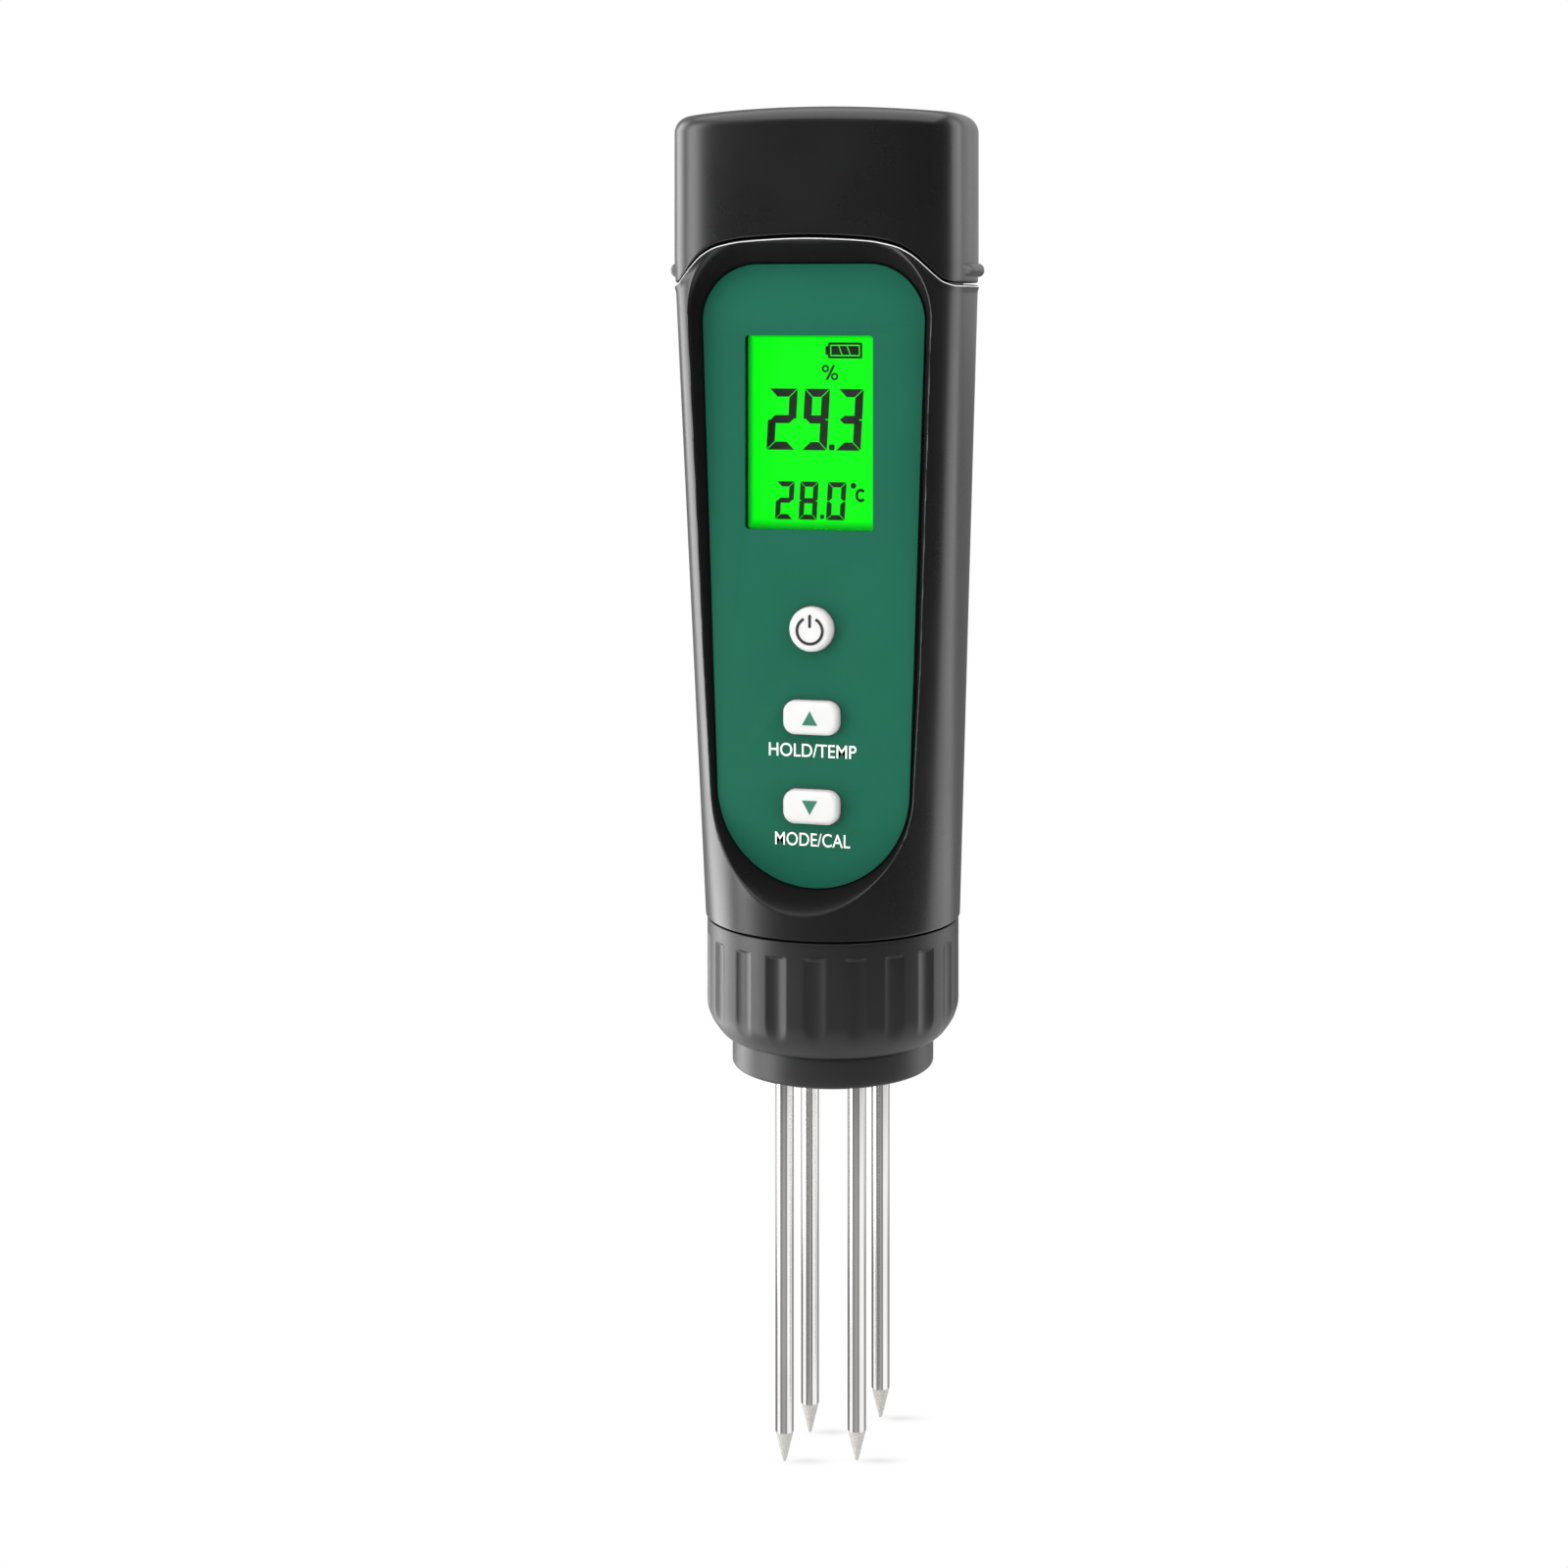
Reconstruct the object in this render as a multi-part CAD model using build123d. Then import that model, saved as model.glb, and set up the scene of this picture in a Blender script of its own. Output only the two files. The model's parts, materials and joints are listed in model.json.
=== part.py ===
from build123d import *
import math
import os

# Handheld soil moisture and temperature meter, pen type, with four steel probe pins.
# Millimetres. +Z runs up the meter towards the battery cap, the display faces -Y and +X is
# on the viewer's right. The origin is the centre of the sensor head's flat lower face,
# where the pins come out.

# ---------------------------------------------------------------- shared dimensions
# Outer skin: a circle at the bottom grows into a squarish, round-backed section at the top.
R_BOT, Z_BOT = 17.15, 20.1      # radius and height of the lower end
Z_SEC = 108.0                   # height where the top section is reached
HALF_W = 19.8                   # half width of the top section
B_FRONT, N_FRONT = 12.2, 4.2    # front half: depth and squareness
B_BACK, N_BACK = 16.5, 2.8      # back half: depth and squareness
Y_C = -2.6                      # centre line of the top section
SKIN_POINTS = 24
WALL = 2.0
NECK_OUT, NECK_IN = -2.05, -3.65  # neck faces, as offsets from the outer skin
Z_NECK0, Z_NECK = 102.0, 119.5    # root and top of the neck
Z_SEAM = 104.7                  # cap seam at the sides and back
Z_TOP = 128.3                   # crown of the battery cap

# Panel pocket in the front, seen along Y: hull of a big low circle and two small upper ones
Y_FLOOR = -9.9
BIG_Z, BIG_R = 38.5, 13.2
UP_X, UP_Z, UP_R = 7.55, 99.8, 7.7
OVERLAY_T = 0.5
Y_FACE = Y_FLOOR - OVERLAY_T    # front face of the overlay

LCD_W, LCD_H = 17.4, 25.6
LCD_X, LCD_Z = -0.55, 85.2      # the display sits a little left of the centre line

POWER_Z, UP_KEY_Z, DOWN_KEY_Z = 59.5, 47.9, 36.2
KEY_ZS = (POWER_Z, UP_KEY_Z, DOWN_KEY_Z)

# Circuit board: front and back faces, and (x, z) of its screws
Y_PCB_F, Y_PCB_B = -3.9, -2.7
Y_MOUNT = Y_PCB_B + 0.02        # where parts on the board's back begin
PCB_BOSS = [(-9.4, 34.0), (9.4, 34.0), (-10.2, 67.3), (10.2, 67.3)]

# Two AAA cells side by side
CELL_R, CELL_L = 5.25, 43.7
CELL_X, CELL_Y, CELL_Z0 = 5.75, 4.2, 72.6
CELL_Z1 = CELL_Z0 + CELL_L
TRAY_BOSS = [(-14.1, Y_C), (14.1, Y_C)]  # (x, y) of the holder screws

THREAD_R = 14.5                 # threaded spigot below the housing
SOCKET_PINS = [(-1.8, -1.8), (1.8, -1.8), (-1.8, 1.8), (1.8, 1.8)]  # (x, y)


# ---------------------------------------------------------------- primitives
def box(x0, x1, y0, y1, z0, z1):
    return Solid.make_box(x1 - x0, y1 - y0, z1 - z0, Plane((x0, y0, z0)))


def cyl_z(r, z0, z1, x=0.0, y=0.0):
    return Solid.make_cylinder(r, z1 - z0, Plane((x, y, z0)))


def cone_z(r0, r1, z0, height, x, y):
    return Solid.make_cone(r0, r1, height, Plane((x, y, z0)))


def plane_y(x, y, z):
    return Plane(origin=(x, y, z), x_dir=(1, 0, 0), z_dir=(0, 1, 0))


def cyl_y(r, y0, y1, x=0.0, z=0.0):
    return Solid.make_cylinder(r, y1 - y0, plane_y(x, y0, z))


def slab_y(w, h, r, y0, y1, x=0.0, z=0.0):
    """Rounded rectangle in XZ, extruded from y0 to y1."""
    plane = Plane(origin=(x, y0, z), x_dir=(1, 0, 0), z_dir=(0, -1, 0))
    return extrude(plane * RectangleRounded(w, h, r), amount=-(y1 - y0))


def union(*shapes):
    out = shapes[0]
    for shape in shapes[1:]:
        out = out + shape
    return out


def largest(shape):
    return max(shape.solids(), key=lambda solid: solid.volume)


def pair(make):
    """Union of make(side) for the left (-1) and right (+1) side."""
    return make(-1) + make(1)


def revolve_profile(points):
    """Closed polygon of (r, z), turned about Z."""
    wire = Wire.make_polygon([Vector(r, 0, z) for r, z in points], close=True)
    return Solid.revolve(Face(wire), 360.0, Axis.Z)


def spring(r, wire_r, z0, z1, x, turns):
    height = z1 - z0 - 2 * wire_r
    helix = Edge.make_helix(height / turns, height, r, Vector(x, CELL_Y, z0 + wire_r))
    profile = Wire.make_circle(wire_r, Plane(origin=helix @ 0, z_dir=helix % 0))
    return Solid.sweep(Face(profile), Wire([helix]), is_frenet=True)


def try_fillet(shape, radius, edges):
    # Guards against the kernel failing on these edges: they are then left sharp.
    try:
        out = fillet(edges, radius)
        if out.is_valid and out.volume > 0:
            return out
    except Exception:
        pass
    return shape


def save(shape, name):
    solids = [s for s in shape.solids() if s.volume > 1e-3]
    out = Compound(solids) if len(solids) > 1 else solids[0]
    out.label = name
    export_step(out, f"parts/{name}.step")


# ---------------------------------------------------------------- outer skin and panel outline
def skin_point(angle, z):
    """Point on the skin: a blend of the bottom circle and the superelliptic top section."""
    t = min(max((z - Z_BOT) / (Z_SEC - Z_BOT), 0.0), 1.0)
    c, s = math.cos(angle), math.sin(angle)
    depth, n = (B_BACK, N_BACK) if s >= 0 else (B_FRONT, N_FRONT)
    r = (abs(c / HALF_W) ** n + abs(s / depth) ** n) ** (-1.0 / n)
    return (1 - t) * R_BOT * c + t * r * c, (1 - t) * R_BOT * s + t * (Y_C + r * s)


def skin_face(z, offset=0.0, at=None):
    """Skin section of height z, moved outwards by offset and placed at height `at`."""
    step = 1e-3
    points = []
    for i in range(SKIN_POINTS):
        angle = math.pi / 2 + 2 * math.pi * i / SKIN_POINTS
        x, y = skin_point(angle, z)
        x1, y1 = skin_point(angle + step, z)
        x0, y0 = skin_point(angle - step, z)
        tx, ty = x1 - x0, y1 - y0
        length = math.hypot(tx, ty)
        points.append(Vector(x + offset * ty / length, y - offset * tx / length,
                             z if at is None else at))
    params = [i / SKIN_POINTS for i in range(SKIN_POINTS + 1)]
    return Face(Wire([Edge.make_spline(points, periodic=True, parameters=params)]))


def skin_loft(*stations):
    """Ruled loft through (z, offset, placed height) stations of the skin."""
    wires = [skin_face(*station).outer_wire() for station in stations]
    return Solid.make_loft(wires, ruled=True)


def top_prism(offset, z0, z1):
    return Solid.extrude(skin_face(Z_SEC, offset, at=z0), Vector(0, 0, z1 - z0))


def hull_wire(y, big_z, big_r, up_z, up_r):
    # direction from each circle's centre to its contact with the right-hand tangent line
    dz = up_z - big_z
    angle = math.atan2(dz, UP_X) - math.acos((big_r - up_r) / math.hypot(UP_X, dz))
    mid = math.radians(45) + angle / 2

    def on_upper(a):
        return UP_X + up_r * math.cos(a), up_z + up_r * math.sin(a)

    low = (big_r * math.cos(angle), big_z + big_r * math.sin(angle))
    high, corner, top = on_upper(angle), on_upper(mid), (UP_X, up_z + up_r)

    def right(p):
        return Vector(p[0], y, p[1])

    def left(p):
        return Vector(-p[0], y, p[1])

    return Wire([
        Edge.make_three_point_arc(left(low), Vector(0, y, big_z - big_r), right(low)),
        Edge.make_line(right(low), right(high)),
        Edge.make_three_point_arc(right(high), right(corner), right(top)),
        Edge.make_line(right(top), left(top)),
        Edge.make_three_point_arc(left(top), left(corner), left(high)),
        Edge.make_line(left(high), left(low)),
    ])


def panel_wire(y, grow=0.0):
    return hull_wire(y, BIG_Z, BIG_R + grow, UP_Z, UP_R + grow)


def pocket(grow=0.0, back=0.0):
    """Drafted pocket: steep at the foot, wider at the sides, widest at the top."""
    mouth = hull_wire(-20.0 + back, 40.4, 17.2 + grow, 101.6, 11.7 + grow)
    return Solid.make_loft([panel_wire(Y_FLOOR + back, grow), mouth], ruled=True)


# ---------------------------------------------------------------- housing
# Right half of the seam arch over the panel, (x, z) from the side inwards
SEAM_ARCH = [(19.4, Z_SEAM), (18.0, 105.15), (17.0, 106.0), (16.0, 107.0),
             (14.0, 108.75), (12.0, 109.75), (8.0, 110.5)]
SEAM_CREST = 110.85
FLOOR_T = 1.5                     # pocket floor thickness
FLOOR_WALL = 1.8                  # wall round the pocket
SPIGOT_BORE = 12.0
SEAL_Z0, SEAL_Z1 = 112.0, 113.9   # gasket groove round the neck
SEAL_DEPTH = 0.85
STEM_HOLE_R = 1.45
BOSS_Z0, BOSS_Z1 = 106.0, 116.0   # battery holder bosses
BOSS_R, BOSS_HOLE_R = 2.0, 0.75


def under_seam(lift=0.0, low=0.0):
    """Everything below the seam: arched over the panel in front, level behind."""
    y0, half_w = -40, 30          # beyond the skin
    points = [Vector(-x, y0, z + lift) for x, z in SEAM_ARCH]
    points += [Vector(0, y0, SEAM_CREST + lift)]
    points += [Vector(x, y0, z + lift) for x, z in reversed(SEAM_ARCH)]
    arch = Edge.make_spline(points, tangents=[Vector(1, 0, 0), Vector(1, 0, 0)])
    level = Z_SEAM + lift
    rim = [points[-1], Vector(half_w, y0, level), Vector(half_w, y0, low),
           Vector(-half_w, y0, low), Vector(-half_w, y0, level), points[0]]
    face = Face(Wire([arch] + [Edge.make_line(a, b) for a, b in zip(rim, rim[1:])]))
    front = Solid.extrude(face, Vector(0, Y_C - y0, 0))
    return front + box(-half_w, half_w, Y_C, 40, low, level)


def main_housing():
    body = skin_loft((Z_BOT,), (Z_SEC,), (Z_SEC, 0.0, 112.0)) & under_seam()
    body = body + top_prism(NECK_OUT, Z_NECK0, Z_NECK)
    cavity = skin_loft((22.7, -WALL), (98.0, -WALL),
                       (Z_SEC, NECK_IN, 100.5), (Z_SEC, NECK_IN, 125.0))
    body = body - (cavity - pocket(FLOOR_WALL, FLOOR_T))
    body = largest(body - pocket())

    # gasket groove
    groove = top_prism(1.0, SEAL_Z0, SEAL_Z1)
    body = body - (groove - top_prism(NECK_OUT - SEAL_DEPTH, SEAL_Z0 - 0.5, SEAL_Z1 + 0.5))

    # spigot with the plug bore, closed above by a bulkhead with the socket hole
    body = body + cyl_z(THREAD_R, 10.5, 20.6)
    body = body - union(cyl_z(SPIGOT_BORE, 9.0, 20.1), cyl_z(5.0, 18.0, 24.0))

    # keypad seat: thick pad behind the floor, shallow tray in front, stem holes
    body = body + box(-7.6, 7.6, Y_FLOOR + 0.6, -6.9, UP_KEY_Z - 17.7, UP_KEY_Z + 17.7)
    body = body - slab_y(12.4, 33.0, 2.5, Y_FLOOR - 0.6, -8.0, 0, UP_KEY_Z)
    for z in KEY_ZS:
        body = body - cyl_y(STEM_HOLE_R, -9.0, -6.0, 0, z)

    # display window through the floor
    body = body - slab_y(LCD_W + 0.4, LCD_H + 0.4, 0.6, Y_FLOOR - 0.5, -7.0, LCD_X, LCD_Z)

    # circuit board bosses on the back of the floor
    for x, z in PCB_BOSS:
        body = body + cyl_y(1.9, Y_FLOOR + 0.7, Y_PCB_F - 0.05, x, z)
        body = body - cyl_y(BOSS_HOLE_R, Y_FLOOR + 1.6, Y_PCB_F + 1.0, x, z)

    # battery holder bosses, joined sideways to the inside of the neck
    for x, y in TRAY_BOSS:
        x0, x1 = sorted((x, x * 1.2))
        web = box(x0, x1, y - BOSS_R, y + BOSS_R, BOSS_Z0, BOSS_Z1)
        body = body + union(cyl_z(BOSS_R, BOSS_Z0, BOSS_Z1, x, y), web)
        body = body - cyl_z(BOSS_HOLE_R, BOSS_Z0 + 1.5, BOSS_Z1 + 1.0, x, y)
    return largest(body)


# ---------------------------------------------------------------- cap, its gasket and contacts
SEAM_GAP = 0.25
CAP_WALL, CAP_ROUND = 1.9, 2.4
CROWN_R = 163.0
POST_X, POST_Y, POST_R = 12.6, 3.0, 1.5
PLATE_Z1 = Z_TOP - 4.65           # top of the contact plate
PLATE_T = 0.4


def battery_cap():
    cap = skin_loft((100.0,), (Z_SEC,), (Z_SEC, 0.0, 135.0))
    dome = Solid.make_sphere(CROWN_R, Plane((0, -0.5, Z_TOP - CROWN_R)))
    cap = largest(cap & dome & box(-40, 40, -40, 40, 99, 140))
    top_edges = [e for e in cap.edges() if e.bounding_box().min.Z > 122]
    cap = try_fillet(cap, CAP_ROUND, top_edges)
    # thumb ribs
    for side in (-1, 1):
        rib = box(-1.6, 1.6, -6.2, 6.2, 105.75, 107.55)
        rib = fillet(rib.edges().filter_by(Axis.Z), 1.2)
        rib = fillet(rib.edges().group_by(Axis.X)[-1 if side > 0 else 0], 0.6)
        cap = cap + largest(rib).moved(Location((side * 18.8, -2.9, 0)))
    cap = largest(cap - under_seam(SEAM_GAP, 90.0))
    cap = largest(cap - top_prism(-CAP_WALL, 95.0, Z_TOP - 3.4))
    # posts that carry the contact plate
    for side in (-1, 1):
        cap = cap + cyl_z(POST_R, Z_TOP - 4.6, Z_TOP - 2.4, side * POST_X, POST_Y)
        cap = cap - cyl_z(0.6, Z_TOP - 5.0, Z_TOP - 2.6, side * POST_X, POST_Y)
    return largest(cap)


def cap_seal_ring():
    ring = top_prism(NECK_OUT + 0.1, SEAL_Z0 + 0.1, SEAL_Z1 - 0.1)
    return ring - top_prism(NECK_OUT - 0.7, SEAL_Z0 - 0.5, SEAL_Z1 + 0.5)


def cap_contact_plate():
    plate = box(-14.2, 14.2, 0.8, 6.6, PLATE_Z1 - PLATE_T, PLATE_Z1)
    plate = plate - pair(
        lambda side: cyl_z(0.8, PLATE_Z1 - 2, PLATE_Z1 + 2, side * POST_X, POST_Y))
    # cone above the left-hand cell
    cone_z0 = CELL_Z1 + 1.1
    return plate + cone_z(1.4, 2.6, cone_z0, PLATE_Z1 - 0.3 - cone_z0, -CELL_X, CELL_Y)


def cap_screws():
    return Compound([union(cyl_z(1.3, PLATE_Z1 - 1.5, PLATE_Z1 - 0.5, side * POST_X, POST_Y),
                           cyl_z(0.55, PLATE_Z1 - 0.6, PLATE_Z1 + 1.5, side * POST_X, POST_Y))
                     for side in (-1, 1)])


def cap_spring():
    return spring(2.6, 0.3, CELL_Z1 + 0.15, PLATE_Z1 - PLATE_T - 0.05, CELL_X, turns=4.5)


# ---------------------------------------------------------------- overlay and keys
POWER_R = 2.95
KEY_W, KEY_H, KEY_R = 7.55, 4.45, 1.6
KEY_GAP = 0.14
Y_KEY = Y_FACE - 1.4              # front face of the keys
FLANGE_Y0, FLANGE_Y1 = Y_FLOOR + 0.1, Y_FLOOR + 0.7
POWER_RIM, KEY_RIM = 0.8, 0.7     # how far the flanges reach beyond the keys
KEY_ROUND = 0.45
STEM_R, STEM_TIP_R, STEM_Y1 = 1.35, 0.8, -7.0


def key_slab(grow, y0, y1, z):
    return slab_y(KEY_W + 2 * grow, KEY_H + 2 * grow, KEY_R + grow, y0, y1, 0, z)


def front_overlay():
    y0, y1 = Y_FACE - 1, Y_FLOOR + 1
    overlay = Solid.extrude(Face(panel_wire(Y_FACE, -0.12)), Vector(0, OVERLAY_T, 0))
    overlay = overlay - slab_y(LCD_W, LCD_H, 0.5, y0, y1, LCD_X, LCD_Z)
    overlay = overlay - cyl_y(POWER_R + KEY_GAP, y0, y1, 0, POWER_Z)
    for z in (UP_KEY_Z, DOWN_KEY_Z):
        overlay = overlay - key_slab(KEY_GAP, y0, y1, z)
    return overlay


def round_front(key):
    edges = [e for e in key.edges() if abs(e.center().Y - Y_KEY) < 1e-3]
    return try_fillet(key, KEY_ROUND, edges)


def power_button():
    key = round_front(cyl_y(POWER_R, Y_KEY, FLANGE_Y1, 0, POWER_Z))
    return key + cyl_y(POWER_R + POWER_RIM, FLANGE_Y0, FLANGE_Y1, 0, POWER_Z)


def arrow_button(z):
    key = round_front(largest(key_slab(0, Y_KEY, FLANGE_Y1, z)))
    return key + key_slab(KEY_RIM, FLANGE_Y0, FLANGE_Y1, z)


def plunger(z):
    tip = Solid.make_cone(STEM_R, STEM_TIP_R, 0.25, plane_y(0, STEM_Y1, z))
    return union(cyl_y(STEM_R, FLANGE_Y1 + 0.02, STEM_Y1, 0, z), tip)


def keypad_membrane():
    membrane = slab_y(12.0, 32.6, 2.3, -8.45, -8.02, 0, UP_KEY_Z)
    for z in KEY_ZS:
        membrane = membrane - cyl_y(1.75, -9.5, -7.5, 0, z)
    return membrane


# ---------------------------------------------------------------- display stack
Y_LCD = -8.3                      # front of the panel and its frame
Y_STACK_B = Y_PCB_F - 0.02        # back of the frame and strip


def lcd_box(x0, x1, y0, y1, z0, z1):
    """Box with x and z measured from the display centre."""
    return box(LCD_X + x0, LCD_X + x1, y0, y1, LCD_Z + z0, LCD_Z + z1)


def display_window():
    return slab_y(LCD_W - 0.1, LCD_H - 0.1, 0.45, Y_FACE + 0.05, -8.7, LCD_X, LCD_Z)


def lcd_panel():
    return lcd_box(-10.2, 10.2, Y_LCD, -6.95, -14.4, 14.4)


def lcd_backlight():
    # plate with a tab on its left
    return (lcd_box(-10.1, 10.1, -6.85, -5.2, -13.0, 14.3)
            + lcd_box(-12.6, -10.0, -6.4, -5.6, -2, 2))


def zebra_strip():
    return lcd_box(-9.2, 9.2, -6.9, Y_STACK_B, -14.2, -13.1)


def lcd_frame():
    frame = lcd_box(-11.6, 11.6, Y_LCD, Y_STACK_B, -15.5, 15.6)
    frame = frame - lcd_box(-10.3, 10.3, -9.0, Y_PCB_F + 1, -14.5, 14.5)
    frame = frame - lcd_box(-13, -10.0, -6.5, -5.5, -2.1, 2.1)
    # trimmed to the panel outline
    return frame & Solid.extrude(Face(panel_wire(Y_LCD - 0.05, -0.3)), Vector(0, 6, 0))


# ---------------------------------------------------------------- circuit board
PCB_HALF_W, PCB_Z0, PCB_Z1 = 11.5, 30.0, 106.6
SWITCH_HALF = 2.3
MCU_Z, MCU_HALF = 50.0, 4.0
LEG_COUNT, LEG_PITCH, LEG_HALF = 8, 0.8, 0.15
# Boxes on the back of the board: x0, x1, back face y, z0, z1
BACK_BOXES = [
    (-8.9, -6.7, -1.5, 40.0, 44.6),
    (6.7, 8.0, -2.1, 47.5, 50.0),
    (6.7, 8.0, -2.1, 52.0, 54.5),
    (-1.6, 1.6, -1.4, 58.6, 61.4),
    (2.2, 4.2, -2.0, 39.5, 40.7),
    (-3.4, -1.4, -2.0, 39.5, 40.7),
]


def main_pcb():
    board = box(-PCB_HALF_W, PCB_HALF_W, Y_PCB_F, Y_PCB_B, PCB_Z0, PCB_Z1)
    board = fillet(board.edges().filter_by(Axis.Y), 1.2)
    for x, z in PCB_BOSS:
        board = board - cyl_y(0.95, -6, 0, x, z)
    return board


def tact_switches():
    switches = []
    for z in KEY_ZS:
        case = box(-SWITCH_HALF, SWITCH_HALF, -5.4, Y_PCB_F - 0.01,
                   z - SWITCH_HALF, z + SWITCH_HALF)
        case = chamfer(case.edges().filter_by(Axis.Y), 0.4)
        switches.append(largest(union(case, cyl_y(0.9, -6.05, -5.3, 0, z))))
    return Compound(switches)


def microcontroller():
    chip = box(-MCU_HALF, MCU_HALF, Y_PCB_B + 0.12, -1.5, MCU_Z - MCU_HALF, MCU_Z + MCU_HALF)
    chip = chamfer(chip.edges().group_by(Axis.Y)[-1], 0.25)
    y0, y1 = Y_PCB_B + 0.01, Y_PCB_B + 0.5
    inner, outer = MCU_HALF - 0.1, MCU_HALF + 1.0
    legs = []
    for i in range(LEG_COUNT):
        along = LEG_PITCH * (i - (LEG_COUNT - 1) / 2)
        a, b = along - LEG_HALF, along + LEG_HALF
        for start, end in ((-outer, -inner), (inner, outer)):
            legs.append(box(a, b, y0, y1, MCU_Z + start, MCU_Z + end))
            legs.append(box(start, end, y0, y1, MCU_Z + a, MCU_Z + b))
    return largest(union(chip, *legs))


def pcb_components():
    cans = [cyl_y(2.0, Y_MOUNT, 2.2, x, 60.0) for x in (7.6, -7.6)]
    return Compound(cans + [box(x0, x1, Y_MOUNT, y1, z0, z1)
                            for x0, x1, y1, z0, z1 in BACK_BOXES])


def pcb_screws():
    screws = []
    for x, z in PCB_BOSS:
        screw = union(cyl_y(1.5, Y_MOUNT, Y_PCB_B + 1.0, x, z),
                      cyl_y(0.7, -7.6, Y_PCB_B + 0.1, x, z))
        slot = box(x - 1.0, x + 1.0, Y_PCB_B + 0.5, Y_PCB_B + 2, z - 0.15, z + 0.15)
        screws.append(largest(screw - slot))
    return Compound(screws)


# ---------------------------------------------------------------- battery holder and cells
BAY_Z0 = 71.4                     # floor of the cell bays
CONTACT_HALF_X, CONTACT_HALF_Y = 3.6, 3.4
NUB_R = 1.9                       # positive end of a cell


def battery_tray():
    tray = top_prism(NECK_IN - 0.3, 70.0, 115.9) & box(-12.0, 12.0, -1.9, 20, 60, 130)
    # flange that rests on the bosses
    tray = tray + top_prism(NECK_IN - 0.2, BOSS_Z1 + 0.05, BOSS_Z1 + 1.45)
    tray = tray - pair(
        lambda side: cyl_z(CELL_R + 0.15, BAY_Z0, 120, side * CELL_X, CELL_Y))
    tray = tray - box(-5.0, 5.0, -15, -4.5, 110, 120)
    for x, y in TRAY_BOSS:
        tray = tray - cyl_z(0.95, 110, 120, x, y)
    # windows in front of the cells
    tray = tray - pair(
        lambda side: box(side * CELL_X - 3.0, side * CELL_X + 3.0, -3, 1, 76, 108))
    return largest(tray)


def batteries():
    # the left-hand cell has its nub up, the right-hand one down
    cells = []
    for x, z0, z1 in ((-CELL_X, CELL_Z0, CELL_Z1 + 0.9), (CELL_X, CELL_Z0 - 0.7, CELL_Z0 + 1)):
        can = cyl_z(CELL_R, CELL_Z0, CELL_Z1, x, CELL_Y)
        cells.append(largest(union(can, cyl_z(NUB_R, z0, z1, x, CELL_Y))))
    return Compound(cells)


def battery_contacts():
    return Compound([box(x - CONTACT_HALF_X, x + CONTACT_HALF_X,
                         CELL_Y - CONTACT_HALF_Y, CELL_Y + CONTACT_HALF_Y, BAY_Z0 + 0.02, z1)
                     for x, z1 in ((-CELL_X, 71.62), (CELL_X, 71.85))])


def battery_spring():
    return spring(2.5, 0.17, BAY_Z0 + 0.24, CELL_Z0 - 0.02, -CELL_X, turns=1.5)


def tray_screws():
    screws = []
    for x, y in TRAY_BOSS:
        screw = union(cyl_z(1.6, 117.5, 118.6, x, y), cyl_z(0.7, 108.2, 117.6, x, y))
        slot = box(x - 1.1, x + 1.1, y - 0.2, y + 0.2, 118.1, 119)
        screws.append(largest(screw - slot))
    return Compound(screws)


# ---------------------------------------------------------------- sensor head, pins and collar
NOSE_R = 13.55
HEAD_R = THREAD_R - 0.1           # flange that meets the spigot
FLANGE_Z1 = 9.6
PLUG_R, PLUG_Z1 = 11.85, 18.6
RING_Z0, RING_Z1, RING_R = 13.0, 14.5, 10.75   # O-ring groove
HEAD_BORE, BORE_Z0 = 9.9, 3.5
DISC_BORE, DISC_Z0 = 10.3, 17.1   # counterbore for the disc that closes the head
PIN_R, PIN_ROOT_R = 1.25, 1.1     # rod, and its turned-down end set in the nose
PIN_HALF, PIN_TURN = 5.1, math.radians(-4.0)   # half pitch and turn of the square
PIN_Z0, PIN_TIP = -53.2, 4.2      # lowest point, and length of the tip
PIN_ROOT_Z1 = 13.7
LEAD_R = 0.32
# name, side in x, side in y, how much higher the rod ends
PIN_TABLE = [
    ("front_left", -1, -1, 0.35), ("front_right", 1, -1, 1.95),
    ("rear_left", -1, 1, 0.0), ("rear_right", 1, 1, 3.5),
]
COL_R, COL_Z0, COL_Z1 = 16.95, 4.3, 19.8
COL_BORE, LIP_BORE, LIP_Z1 = 14.62, 13.75, 6.45
FLUTES, FLUTE_W, FLUTE_D = 20, 2.7, 0.6
FLUTE_Z0, FLUTE_Z1, FLUTE_TURN = 5.1, 17.6, 7.0


def pin_xy(side_x, side_y):
    x, y = side_x * PIN_HALF, side_y * PIN_HALF
    c, s = math.cos(PIN_TURN), math.sin(PIN_TURN)
    return x * c - y * s, x * s + y * c


PIN_XY = [pin_xy(side_x, side_y) for _, side_x, side_y, _ in PIN_TABLE]


def rods(r, z0, z1, places):
    return union(*[cyl_z(r, z0, z1, x, y) for x, y in places])


def socket_connector():
    socket = union(cyl_z(4.9, 20.2, 27.0), cyl_z(6.6, 22.75, 24.0))
    return socket - rods(0.5, 19, 26.0, SOCKET_PINS)


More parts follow.
